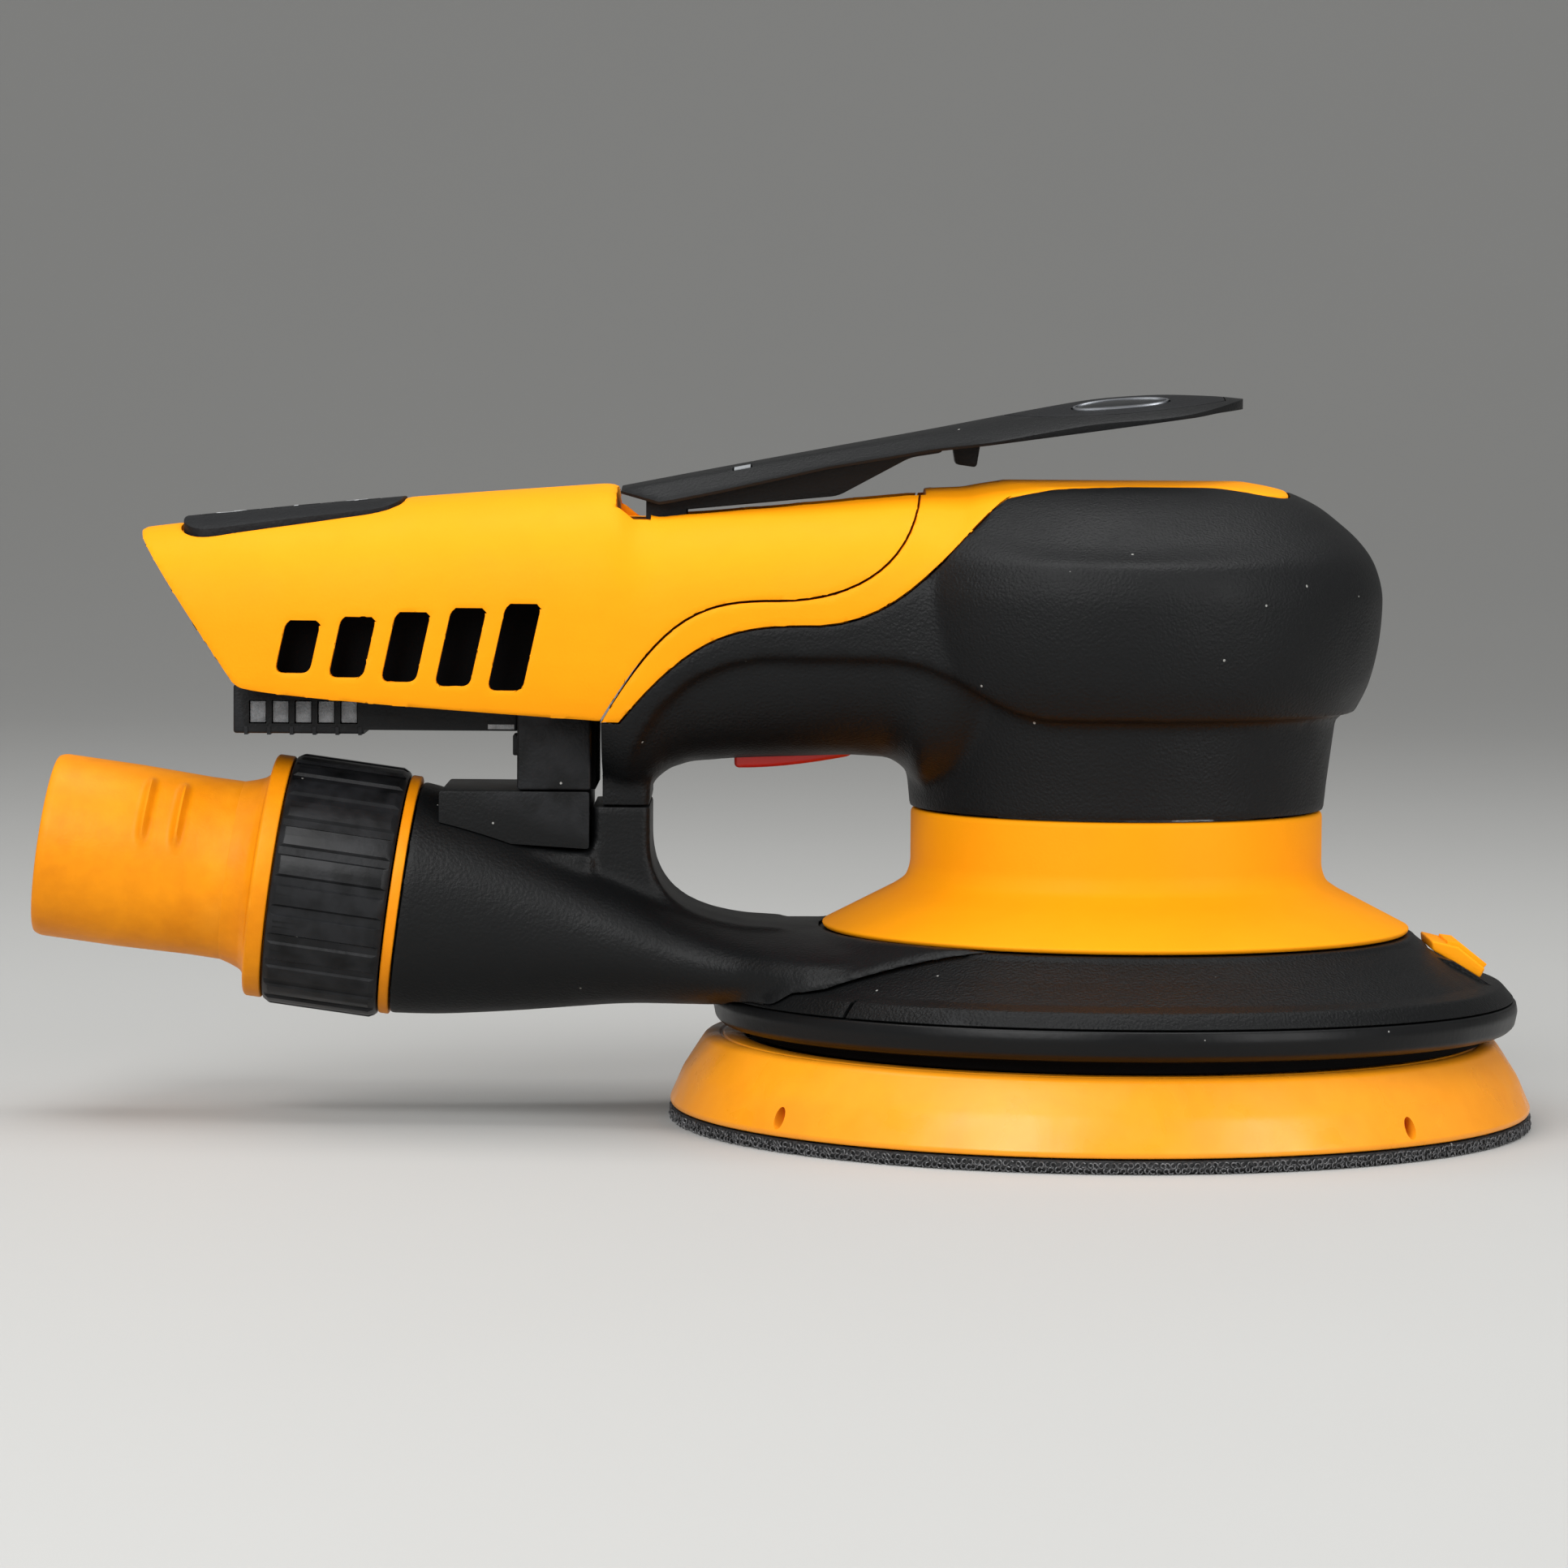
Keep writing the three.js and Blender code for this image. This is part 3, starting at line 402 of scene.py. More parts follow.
def rounded(points: Table, radius: float, steps: int = 4) -> Table:
    """Rounds every corner of a closed outline.

    Args:
        points: the corners.
        radius: how far from a corner its rounding starts, at most.
        steps: faces in each rounding.

    Returns:
        The points of the rounded outline.
    """
    result = []
    for i, corner in enumerate(points):
        here = Vector(corner)
        before = Vector(points[i - 1]) - here
        after = Vector(points[(i + 1) % len(points)]) - here
        reach = min(radius, before.length * 0.45, after.length * 0.45)
        on_axis = abs(here.x) < 1e-6
        if on_axis or reach < 0.02:
            result.append(corner)
            continue
        start = here + before.normalized() * reach
        end = here + after.normalized() * reach
        for k in range(steps + 1):
            t = k / steps
            spot = start * (1 - t) ** 2 + here * (2 * t * (1 - t)) + end * t * t
            result.append((spot.x, spot.y))
    return result


def flowing(points: Table, parts: int = 5) -> Table:
    """Returns points on the smooth curve that passes through the given points."""
    result = []
    for i in range(len(points) - 1):
        p0, p1 = Vector(points[max(i - 1, 0)]), Vector(points[i])
        p2, p3 = Vector(points[i + 1]), Vector(points[min(i + 2, len(points) - 1)])
        for k in range(parts):
            t = k / parts
            spot = 0.5 * (
                2 * p1
                + (p2 - p0) * t
                + (2 * p0 - 5 * p1 + 4 * p2 - p3) * t * t
                + (3 * p1 - p0 - 3 * p2 + p3) * t**3
            )
            result.append((spot.x, spot.y))
    return result + [points[-1]]


def value_at(table: Table, x: float) -> float:
    """Returns the value of a table of [x, value] rows at x, straight between rows."""
    if x <= table[0][0]:
        return table[0][1]
    for (x0, v0), (x1, v1) in zip(table, table[1:]):
        if x <= x1:
            return v0 + (v1 - v0) * (x - x0) / (x1 - x0)
    return table[-1][1]


def eased(low: float, high: float, value: float) -> float:
    """Returns 0 below low, 1 above high and a smooth rise between."""
    t = min(1.0, max(0.0, (value - low) / (high - low)))
    return t * t * (3 - 2 * t)


def oval_ring(
    x: float, half_width: float, low: float, high: float, power: float, facets: int
) -> list[Vector]:
    """Returns a ring of points across X: an oval that gets squarer as its power rises from 2."""
    ring = []
    for i in range(facets):
        angle = 2 * math.pi * i / facets
        across, up = math.sin(angle), math.cos(angle)
        y = math.copysign(abs(across) ** (2 / power), across) * half_width
        z = (low + high) / 2 + math.copysign(abs(up) ** (2 / power), up) * (high - low) / 2
        ring.append(Vector((x, y, z)))
    return ring


def around(count: int, make: Callable[[int], Obj], start: float = 0.0) -> list[Obj]:
    """Returns bodies made by make, set out evenly about +Z from a start angle in degrees."""
    turns = [math.radians(start + 360 * i / count) for i in range(count)]
    return [placed(make(i), Matrix.Rotation(turn, 4, "Z")) for i, turn in enumerate(turns)]


# ---------- finishes ----------
def rgb(code: int) -> tuple[float, float, float, float]:
    """Returns the linear colour of an sRGB code such as 0xffb800."""
    parts = [((code >> shift) & 255) / 255 for shift in (16, 8, 0)]
    linear = [c / 12.92 if c <= 0.04045 else ((c + 0.055) / 1.055) ** 2.4 for c in parts]
    return (*linear, 1.0)


def effect_group(name: str, inputs: dict[str, float], outputs: tuple[str, ...]) -> bpy.types.NodeTree:
    """Returns a new shader node group with number sockets.

    Args:
        name: the effect's name.
        inputs: its input names and their usual values.
        outputs: its output names.
    """
    group = bpy.data.node_groups.new(name, "ShaderNodeTree")
    for label, value in inputs.items():
        socket = group.interface.new_socket(label, in_out="INPUT", socket_type="NodeSocketFloat")
        socket.default_value = value
    for label in outputs:
        group.interface.new_socket(label, in_out="OUTPUT", socket_type="NodeSocketFloat")
    return group


class Wiring:
    """Adds nodes to a node tree and joins their sockets."""

    def __init__(self, tree: bpy.types.NodeTree) -> None:
        """Keeps the tree to work on."""
        self.tree = tree

    def node(self, kind: str, **settings: object) -> bpy.types.Node:
        """Returns a new node with its settings made."""
        made = self.tree.nodes.new(kind)
        for label, value in settings.items():
            setattr(made, label, value)
        return made

    def join(self, out: bpy.types.NodeSocket, into: bpy.types.NodeSocket) -> None:
        """Joins an output to an input."""
        self.tree.links.new(out, into)

    def maths(self, operation: str, first: object, second: object) -> bpy.types.NodeSocket:
        """Returns the result of a maths node on two sockets or numbers."""
        made = self.node("ShaderNodeMath", operation=operation)
        for i, value in enumerate((first, second)):
            if isinstance(value, (int, float)):
                made.inputs[i].default_value = value
            else:
                self.join(value, made.inputs[i])
        return made.outputs[0]

    def ramp(self, value: bpy.types.NodeSocket, low: object, high: object) -> bpy.types.NodeSocket:
        """Returns a value stretched from the range low to high onto 0 to 1, held at its ends."""
        made = self.node("ShaderNodeMapRange", clamp=True)
        self.join(value, made.inputs["Value"])
        for label, limit in (("From Min", low), ("From Max", high)):
            if isinstance(limit, (int, float)):
                made.inputs[label].default_value = limit
            else:
                self.join(limit, made.inputs[label])
        return made.outputs["Result"]

    def mix(self, share: bpy.types.NodeSocket, first: object, second: object) -> bpy.types.NodeSocket:
        """Returns a colour mixed from two colours by a share."""
        made = self.node("ShaderNodeMix", data_type="RGBA")
        self.join(share, made.inputs["Factor"])
        for label, value in (("A", first), ("B", second)):
            socket = [s for s in made.inputs if s.name == label and s.type == "RGBA"][0]
            if isinstance(value, tuple):
                socket.default_value = value
            else:
                self.join(value, socket)
        return [s for s in made.outputs if s.type == "RGBA"][0]


class Effects:
    """The shader effects that the finishes share, each built once."""

    made: dict[str, bpy.types.NodeTree] = {}

    @classmethod
    def group(cls, name: str) -> bpy.types.NodeTree:
        """Returns an effect's node group, built at its first use."""
        if name not in cls.made:
            builders = {
                "moulded grain": cls.moulded_grain,
                "handling marks": cls.handling_marks,
                "edge wear and highlight": cls.edge_wear_and_highlight,
                "lint": cls.lint,
            }
            cls.made[name] = builders[name]()
        return cls.made[name]

    @staticmethod
    def moulded_grain() -> bpy.types.NodeTree:
        """Returns the height of a spark-eroded or leathery moulded skin."""
        group = effect_group("moulded grain", {"Scale": 1500.0, "Leather": 0.0}, ("Height",))
        wire = Wiring(group)
        given, result = wire.node("NodeGroupInput"), wire.node("NodeGroupOutput")
        place = wire.node("ShaderNodeTexCoord").outputs["Object"]
        fine = wire.node("ShaderNodeTexNoise")
        fine.inputs["Detail"].default_value = 3.0
        cells = wire.node("ShaderNodeTexVoronoi", feature="SMOOTH_F1")
        for texture in (fine, cells):
            wire.join(place, texture.inputs["Vector"])
            wire.join(given.outputs["Scale"], texture.inputs["Scale"])
        leather = wire.maths("MULTIPLY", cells.outputs["Distance"], given.outputs["Leather"])
        wire.join(wire.maths("ADD", fine.outputs[0], leather), result.inputs["Height"])
        return group

    @staticmethod
    def handling_marks() -> bpy.types.NodeTree:
        """Returns a mask of broad, cloudy marks, and a finer one of streaks."""
        group = effect_group("handling marks", {"Scale": 30.0, "Low": 0.5, "High": 0.75}, ("Mask", "Streaks"))
        wire = Wiring(group)
        given, result = wire.node("NodeGroupInput"), wire.node("NodeGroupOutput")
        place = wire.node("ShaderNodeTexCoord").outputs["Object"]
        cloud = wire.node("ShaderNodeTexNoise")
        cloud.inputs["Detail"].default_value = 5.0
        cloud.inputs["Distortion"].default_value = 0.6
        wire.join(place, cloud.inputs["Vector"])
        wire.join(given.outputs["Scale"], cloud.inputs["Scale"])
        mask = wire.ramp(cloud.outputs[0], given.outputs["Low"], given.outputs["High"])
        wire.join(mask, result.inputs["Mask"])
        streak = wire.node("ShaderNodeTexNoise")
        streak.inputs["Detail"].default_value = 6.0
        wire.join(place, streak.inputs["Vector"])
        wire.join(wire.maths("MULTIPLY", given.outputs["Scale"], 7.0), streak.inputs["Scale"])
        wire.join(wire.ramp(streak.outputs[0], 0.35, 0.75), result.inputs["Streaks"])
        return group

    @staticmethod
    def edge_wear_and_highlight() -> bpy.types.NodeTree:
        """Returns a mask of sharp edges, for rubbed wear and a painted highlight where a rounded edge would
        catch the light.
        """
        group = effect_group("edge wear and highlight", {"Start": 0.53, "End": 0.62}, ("Mask",))
        wire = Wiring(group)
        given, result = wire.node("NodeGroupInput"), wire.node("NodeGroupOutput")
        sharp = wire.node("ShaderNodeNewGeometry").outputs["Pointiness"]
        edge = wire.ramp(sharp, given.outputs["Start"], given.outputs["End"])
        broken = wire.node("ShaderNodeTexNoise")
        broken.inputs["Scale"].default_value = 220.0
        wire.join(wire.node("ShaderNodeTexCoord").outputs["Object"], broken.inputs["Vector"])
        patchy = wire.ramp(broken.outputs[0], 0.3, 0.6)
        wire.join(wire.maths("MULTIPLY", edge, patchy), result.inputs["Mask"])
        return group

    @staticmethod
    def lint() -> bpy.types.NodeTree:
        """Returns a mask of sparse specks and short fibres."""
        group = effect_group("lint", {"Scale": 120.0, "Size": 0.05}, ("Mask",))
        wire = Wiring(group)
        given, result = wire.node("NodeGroupInput"), wire.node("NodeGroupOutput")
        place = wire.node("ShaderNodeTexCoord").outputs["Object"]
        spots = wire.node("ShaderNodeTexVoronoi", feature="F1")
        wire.join(place, spots.inputs["Vector"])
        wire.join(given.outputs["Scale"], spots.inputs["Scale"])
        near = wire.maths("LESS_THAN", spots.outputs["Distance"], given.outputs["Size"])
        wire.join(near, result.inputs["Mask"])
        return group


@dataclass(frozen=True)
class Finish:
    """One surface finish. Colours are sRGB codes, scales are per metre."""

    name: str
    colour: int
    shade: int
    roughness: float
    slot: str = ""
    marks: float = 0.25
    marks_scale: float = 30.0
    gloss_spread: float = 0.08
    grain_scale: float = 1800.0
    grain_depth: float = 0.25
    leather: float = 0.0
    # Edge colour and its share: partly wear, partly a painted highlight on sharp edges.
    worn_and_lit: int = 0x8A8A88
    wear_and_highlight: float = 0.0
    lint: float = 0.0
    metallic: float = 0.0
    coat: float = 0.0
    specular: float = 0.5
    glow: float = 0.0

    def material(self) -> bpy.types.Material:
        """Returns this finish's material, built at its first use."""
        found = bpy.data.materials.get(self.name)
        if found:
            return found
        material = bpy.data.materials.new(self.name)
        material.use_nodes = True
        wire = Wiring(material.node_tree)
        shader = material.node_tree.nodes["Principled BSDF"]
        self._set_plain_values(shader)
        wire.join(self._colour(wire), shader.inputs["Base Color"])
        marks = self._effect(wire, "handling marks", Scale=self.marks_scale * 2.3, Low=0.3, High=0.7)
        spread = wire.maths("MULTIPLY", marks.outputs["Mask"], self.gloss_spread)
        rough = wire.maths("ADD", spread, self.roughness - self.gloss_spread / 2)
        wire.join(rough, shader.inputs["Roughness"])
        grain = self._effect(wire, "moulded grain", Scale=self.grain_scale, Leather=self.leather)
        bump = wire.node("ShaderNodeBump")
        bump.inputs["Strength"].default_value = self.grain_depth
        bump.inputs["Distance"].default_value = 0.0003
        wire.join(grain.outputs["Height"], bump.inputs["Height"])
        wire.join(bump.outputs["Normal"], shader.inputs["Normal"])
        return material

    def _set_plain_values(self, shader: bpy.types.Node) -> None:
        """Sets the shader values that are the same all over."""
        shader.inputs["Metallic"].default_value = self.metallic
        shader.inputs["Coat Weight"].default_value = self.coat
        shader.inputs["Coat Roughness"].default_value = 0.18
        shader.inputs["Specular IOR Level"].default_value = self.specular
        shader.inputs["Emission Color"].default_value = rgb(self.colour)
        shader.inputs["Emission Strength"].default_value = self.glow

    def _effect(self, wire: Wiring, name: str, **values: float) -> bpy.types.Node:
        """Returns a shared effect placed in this material with its own values."""
        made = wire.node("ShaderNodeGroup")
        made.node_tree = Effects.group(name)
        for label, value in values.items():
            made.inputs[label].default_value = value
        return made

    def _colour(self, wire: Wiring) -> bpy.types.NodeSocket:
        """Returns the colour: base, cloudy marks, edges lightened as wear and painted highlight, and lint."""
        marks = self._effect(wire, "handling marks", Scale=self.marks_scale, Low=0.35, High=0.8)
        share = wire.maths("MULTIPLY", marks.outputs["Mask"], self.marks)
        streaks = wire.maths("MULTIPLY", marks.outputs["Streaks"], self.marks * 0.35)
        colour = wire.mix(wire.maths("ADD", share, streaks), rgb(self.colour), rgb(self.shade))
        # Sharp edges are lightened: partly wear, partly a painted highlight for the bevels the mesh lacks.
        if self.wear_and_highlight > 0:
            rubbed_and_lit = self._effect(wire, "edge wear and highlight")
            share = wire.maths("MULTIPLY", rubbed_and_lit.outputs["Mask"], self.wear_and_highlight)
            colour = wire.mix(share, colour, rgb(self.worn_and_lit))
        if self.lint > 0:
            specks = self._effect(wire, "lint", Scale=130.0, Size=self.lint)
            share = wire.maths("MULTIPLY", specks.outputs["Mask"], 0.55)
            colour = wire.mix(share, colour, rgb(0xB8B8B4))
        return colour


YELLOW = Finish(
    "amber_housing_plastic", 0xF59A0A, 0xE88904, 0.55, "yellow_plastic", marks=0.3, grain_depth=0.1,
    grain_scale=2200, specular=0.09, worn_and_lit=0xFFB63A, wear_and_highlight=0.25,
)
SPIGOT_YELLOW = Finish(
    "amber_spigot_plastic", 0xEE9209, 0xC87004, 0.45, "yellow_plastic", marks=0.6, marks_scale=55,
    grain_depth=0.12, grain_scale=1600, specular=0.15, worn_and_lit=0xFFB63A, wear_and_highlight=0.2,
)
PAD_YELLOW = Finish(
    "amber_pad_skin", 0xF29A1A, 0xDC800C, 0.32, "pad_yellow", marks=0.45, marks_scale=45, gloss_spread=0.2,
    grain_depth=0.06, grain_scale=700, specular=0.35, worn_and_lit=0xFFC050, wear_and_highlight=0.3,
)
# Deeper orange-red: painted shade inside the pad's side bores, with painted glow of light through the foam.
BORE_SHADE_ORANGE = Finish("vent_bore_painted_shade", 0xD2380A, 0x9A2206, 0.6, "pad_yellow", grain_depth=0.3)
RUBBER = Finish(
    "black_grip_rubber", 0x0F1011, 0x0A0B0C, 0.5, "black_rubber", marks=0.4, gloss_spread=0.12,
    grain_depth=0.42, grain_scale=2100, leather=0.6, lint=0.03, worn_and_lit=0x242527, wear_and_highlight=0.3, specular=0.17,
)
KEY_RUBBER = Finish(
    "black_key_rubber", 0x151618, 0x0F1011, 0.55, "black_rubber", marks=0.4, grain_depth=0.35,
    grain_scale=1500, leather=0.6, lint=0.035, worn_and_lit=0x28292B, wear_and_highlight=0.3, specular=0.16,
)
# Darker than black rubber: painted shade, so the seal and the fill pieces read as shadowed voids.
SHADE_SEAL_BLACK = Finish(
    "black_seal_rubber_painted_shade", 0x050506, 0x030303, 0.8, "black_rubber", grain_depth=0.2, specular=0.08,
)
DUCT_BLACK = Finish(
    "black_duct_plastic", 0x0E0F10, 0x090A0A, 0.46, "black_plastic", marks=0.5, marks_scale=25,
    gloss_spread=0.1, grain_depth=0.4, grain_scale=1700, lint=0.028, worn_and_lit=0x303134, wear_and_highlight=0.3, specular=0.18,
)
SHROUD_BLACK = Finish(
    "black_shroud_plastic", 0x0B0C0D, 0x070808, 0.44, "black_plastic", marks=0.4, gloss_spread=0.1,
    grain_depth=0.6, grain_scale=2000, leather=0.4, lint=0.028, worn_and_lit=0x2C2D2F, wear_and_highlight=0.35, specular=0.15,
)
LEVER_BLACK = Finish(
    "black_lever_plastic", 0x121314, 0x0C0D0E, 0.48, "black_plastic", marks=0.4, grain_depth=0.35,
    grain_scale=1900, lint=0.03, worn_and_lit=0x303133, wear_and_highlight=0.35, specular=0.17,
)
GLOSS_BLACK = Finish(
    "black_gloss_plastic", 0x090A0B, 0x060607, 0.38, "gloss_black", marks=0.5, gloss_spread=0.12,
    grain_depth=0.12, grain_scale=900, lint=0.022, worn_and_lit=0x303134, wear_and_highlight=0.35, specular=0.2,
)
DARK_PLATE = Finish("badge_centre", 0x15171A, 0x0D0E10, 0.22, "gloss_black", grain_depth=0.05)
HOOK_BLACK = Finish(
    "black_hook_fabric", 0x17181A, 0x0C0D0E, 0.7, "hook_fabric", marks=0.6, marks_scale=300,
    grain_depth=1.0, grain_scale=900, leather=2.0, lint=0.05,
)
HOOK_WIRE = Finish(
    "black_hook_wire", 0x5C5C5E, 0x1A1B1C, 0.35, "hook_fabric", marks=0.8, marks_scale=400, grain_depth=0.1,
)
RED = Finish(
    "red_trigger_plastic", 0xC81E10, 0x9E1208, 0.4, "red_plastic", grain_depth=0.15, wear_and_highlight=0.2, worn_and_lit=0xE04A38,
)
FLEECE = Finish(
    "grey_filter_fleece", 0x8E9092, 0x5C5E60, 0.95, "grey_fleece", marks=0.8, marks_scale=400,
    grain_depth=1.0, grain_scale=2600,
)
SILVER = Finish(
    "badge_silver", 0x9A9DA2, 0x74777C, 0.34, "badge_metal", metallic=1.0, grain_depth=0.05, marks=0.3,
)
STEEL = Finish("ground_steel", 0xA9ACB0, 0x7E8185, 0.32, "steel", metallic=1.0, grain_depth=0.1, wear_and_highlight=0.2)
ALUMINIUM = Finish("cast_aluminium", 0xB2B5B8, 0x8C8F93, 0.45, "aluminium", metallic=1.0, grain_depth=0.3)
COPPER = Finish(
    "wound_copper", 0xB5672E, 0x7C3E18, 0.38, "copper", metallic=1.0, grain_depth=0.8, grain_scale=1100,
)
BRASS = Finish("turned_brass", 0xC9A24A, 0x9A7830, 0.35, "brass", metallic=1.0, grain_depth=0.1)
BOARD = Finish(
    "green_board", 0x1F5A34, 0x123D22, 0.45, "board_green", marks=0.7, marks_scale=220, grain_depth=0.4,
)
LAMP = Finish("lamp_window", 0x8C8F92, 0x737679, 0.3, "lamp_white", grain_depth=0.05)
ICON = Finish("icon_grey", 0xC4C6C8, 0xA2A4A6, 0.5, "lamp_white", grain_depth=0.1)


# ---------- the body: rear cover, housing and rubber grip ----------
@dataclass
class BodyShell:
    """Handle, neck and motor head, split along the moulding seams."""

    top: Table = field(default_factory=lambda: [
        (-172, 101.6), (-168.5, 102.3), (-162, 103.1), (-140, 105.6), (-122.6, 107.8), (-110, 108.8),
        (-88.5, 110.4), (-86.5, 109.9), (-83.2, 107), (-80, 105.9), (-60, 107.6), (-34, 110), (-18, 110.8),
        (0, 111.2),
    ])
    half_width: Table = field(default_factory=lambda: [
        (-172, 18), (-160, 20.5), (-150, 22), (-125, 25), (-100, 27), (-80, 28), (-60, 28.5), (-45, 30),
        (-30, 33), (0, 33),
    ])
    bottom: Table = field(default_factory=lambda: [
        (-172, 60), (-92, 60), (-84, 57), (-80.8, 58.5), (-78, 61), (-74, 62.3), (-66, 62.9), (-47, 63.6),
        (-40, 63.3), (-37.5, 61.8), (-36, 59.8), (-34.5, 58.2), (-30, 57.8), (0, 60),
    ])
    head: Table = field(default_factory=lambda: [
        (41.3, 72.1), (43.6, 76.8), (45.2, 83.5), (45.8, 90.2), (45.5, 93.7), (44, 98), (41.4, 101.5),
        (38.3, 104.3), (34, 107.5), (28, 110.1), (21, 111.5),
    ])
    neck: Table = field(default_factory=lambda: [
        (35.7, 50), (36, 54.7), (36.5, 59.7), (37.8, 69.6), (38, 71.3),
    ])
    neck_foot: float = 54.7
    crown_height: float = 111.5
    grip_back: float = -90.8
    trough_floor: float = 104.4
    vents: tuple[float, ...] = (-141.9, -132.7, -123.7, -114.5, -105.5)

    def handle(self, inset: float = 0.0, narrower: float = 0.0, lift: Table | None = None) -> Obj:
        """Lofts the handle and tail.

        Args:
            inset: how far all the skin moves in.
            narrower: how much the sides alone move in.
            lift: rows of x and the rise of the top there.

        Returns:
            The closed handle form.
        """
        stations = {x for table in (self.top, self.half_width, self.bottom) for x, _ in table}
        stations |= {-172.0 + 4 * i for i in range(44)}
        rings = []
        for x in sorted(stations):
            high = value_at(self.top, x) - inset + (value_at(lift, x) if lift else 0.0)
            low = value_at(self.bottom, x) + inset
            rings.append(oval_ring(x, value_at(self.half_width, x) - inset - narrower, low, high, 2.7, 56))
        return lofted(rings)

    def head_form(self, inset: float = 0.0) -> Obj:
        """Returns the turned upper part of the head, down into the neck."""
        curve = flowing(self.head)
        top = self.crown_height - inset
        side = [(r - inset, min(z, top)) for r, z in curve]
        return spun([(0, 60), (side[0][0], 60), *side, (0, top)])

    def neck_form(self) -> Obj:
        """Returns the turned neck under the head's overhang."""
        return spun([(0, 50), *self.neck, (self.neck[-1][0], 84), (0, 84)])

    def inner(self, inset: float) -> Obj:
        """Returns neck, head and handle moved in by one distance, for a core or a hollow."""
        turned = self.neck + [(38, 78)] + [(r, z) for r, z in flowing(self.head) if z > 80.5]
        top = self.crown_height - inset
        side = [(r - inset, min(z, top)) for r, z in turned]
        return self.crowned(added(spun([(0, 50), *side, (0, top)]), self.handle(inset, 2.2)))

    @staticmethod
    def crowned(body: Obj) -> Obj:
        """Lowers the crown of the head towards its sides. Returns the body."""
        for vertex in body.data.vertices:
            x, y, z = vertex.co
            vertex.co.z = z - eased(-42, -14, x) * eased(96, 110, z) * y * y / 230
        return body

    @staticmethod
    def column() -> Obj:
        """Returns the column behind the finger loop."""
        corners = [(-92.6, -14), (-81, -14), (-81, 14), (-92.6, 14)]
        return Outline(rounded(corners, 1.4, 4)).plan(50, 74)

    def whole(self) -> Obj:
        """Returns the flowing outer form of the body, with the step of its thinner lower grip."""
        upper = added(self.head_form(), self.handle())
        upper = cut(upper, self.lower_grip())
        form = joined(upper, self.neck_form(), self.handle(narrower=2.2), self.column())
        return self.crowned(flowed(form, 0.9, 5))

    @staticmethod
    def lower_grip() -> Obj:
        """Returns everything below the line where the rubber gets thinner."""
        shape = Outline([(FAR, -FAR), (FAR, 71.6), (-12, 71.6)])
        shape.curve((-24, 71.6), (-28, 81.2), (-42, 81.2)).line((-60, 81.2))
        shape.curve((-75, 81.2), (-84.5, 70), (-85.5, 55)).line((-85.5, -FAR))
        return shape.side(80)

    @staticmethod
    def behind_rear_seam(back: float) -> Obj:
        """Returns everything behind the seam of the rear cover, moved back by a distance."""
        shape = Outline([(-34.5 - back, FAR), (-34.5 - back, 112)])
        shape.curve((-35.5 - back, 98), (-45 - back, 91.2 + back), (-59 - back, 91 + back))
        shape.curve((-72 - back, 91 + back), (-78 - back, 89), (-89.3 - back, 70))
        shape.line((-89.3 - back, -FAR), (-FAR, -FAR), (-FAR, FAR))
        return shape.side(80)

    def below_rubber_seam(self, back: float) -> Obj:
        """Returns everything below and in front of the seam between housing and rubber."""
        shape = Outline([(-12 - back, FAR), (-12 - back, 111.2 + back)])
        shape.curve((-26 - back, 111.5 + back), (-32 - back, 88 + back), (-52 - back, 86.8 + back))
        shape.curve((-66 - back, 86.8 + back), (-73 - back, 86), (-86 - back, 70))
        shape.line((-91.5, 70), (-91.5, -FAR), (FAR, -FAR), (FAR, FAR))
        return cut(shape.side(80), self.crown_tongue(-back))

    @staticmethod
    def crown_tongue(grow: float) -> Obj:
        """Returns the prism of the yellow tongue that runs over the crown."""
        half, corner, front = 14 + grow, 7 + grow, 29 + grow
        shape = Outline([(-40, -half - 12)]).bend((-12, -half - 2), (2, -half))
        shape.arc((front - corner, corner - half), (corner, corner), -90, 0, 12)
        shape.arc((front - corner, half - corner), (corner, corner), 0, 90, 12)
        shape.line((2, half)).bend((-12, half + 2), (-40, half + 12))
        return shape.plan(100, 130)

    @staticmethod
    def tail_outline() -> Obj:
        """Returns the side view of the tail's slanted end and lower edge."""
        shape = Outline([(0, 130), (-165.6, 130), (-169.1, 103.4), (-169.4, 101.9), (-168.8, 100.6)])
        shape.line((-152.4, 76.3))
        shape.bend((-151.6, 75.4), (-150.4, 75.1), 4).bend((-145, 73.6), (-90, 70.2)).line((0, 70.2))
        return shape.side(80)

    def trough(self) -> Obj:
        """Returns the well that the lever's rear part swings in."""
        well = slab(-86.9, -34, 12.2, self.trough_floor, FAR)
        return added(well, slab(-86.9, -81.2, 17.5, self.trough_floor, FAR))

    def cover_void(self) -> Obj:
        """Returns the hollow inside the rear cover."""
        return kept(self.handle(WALL), slab(-200, -20, 60, 0, 101.8))

    def vent(self, index: int) -> Obj:
        """Returns the tool for one pair of slanted vents, taller towards the front."""
        x = self.vents[index]
        low, high = 78.1 - 0.65 * index, 86.9 + 0.8 * index
        lean = (high - low) * 0.22
        corners = [(x - 2.9 + lean, high), (x - 2.9, low), (x + 2.9, low), (x + 2.9 + lean, high)]
        shape = rounded(corners, 1.5, 5)
        middle = x + lean
        top = [(middle - 2.9, high - 0.7), (middle - 2.2, high), (middle + 2.2, high)]
        return added(Outline(shape).side(60), Outline(top).line((middle + 2.9, high - 0.7)).side(60))

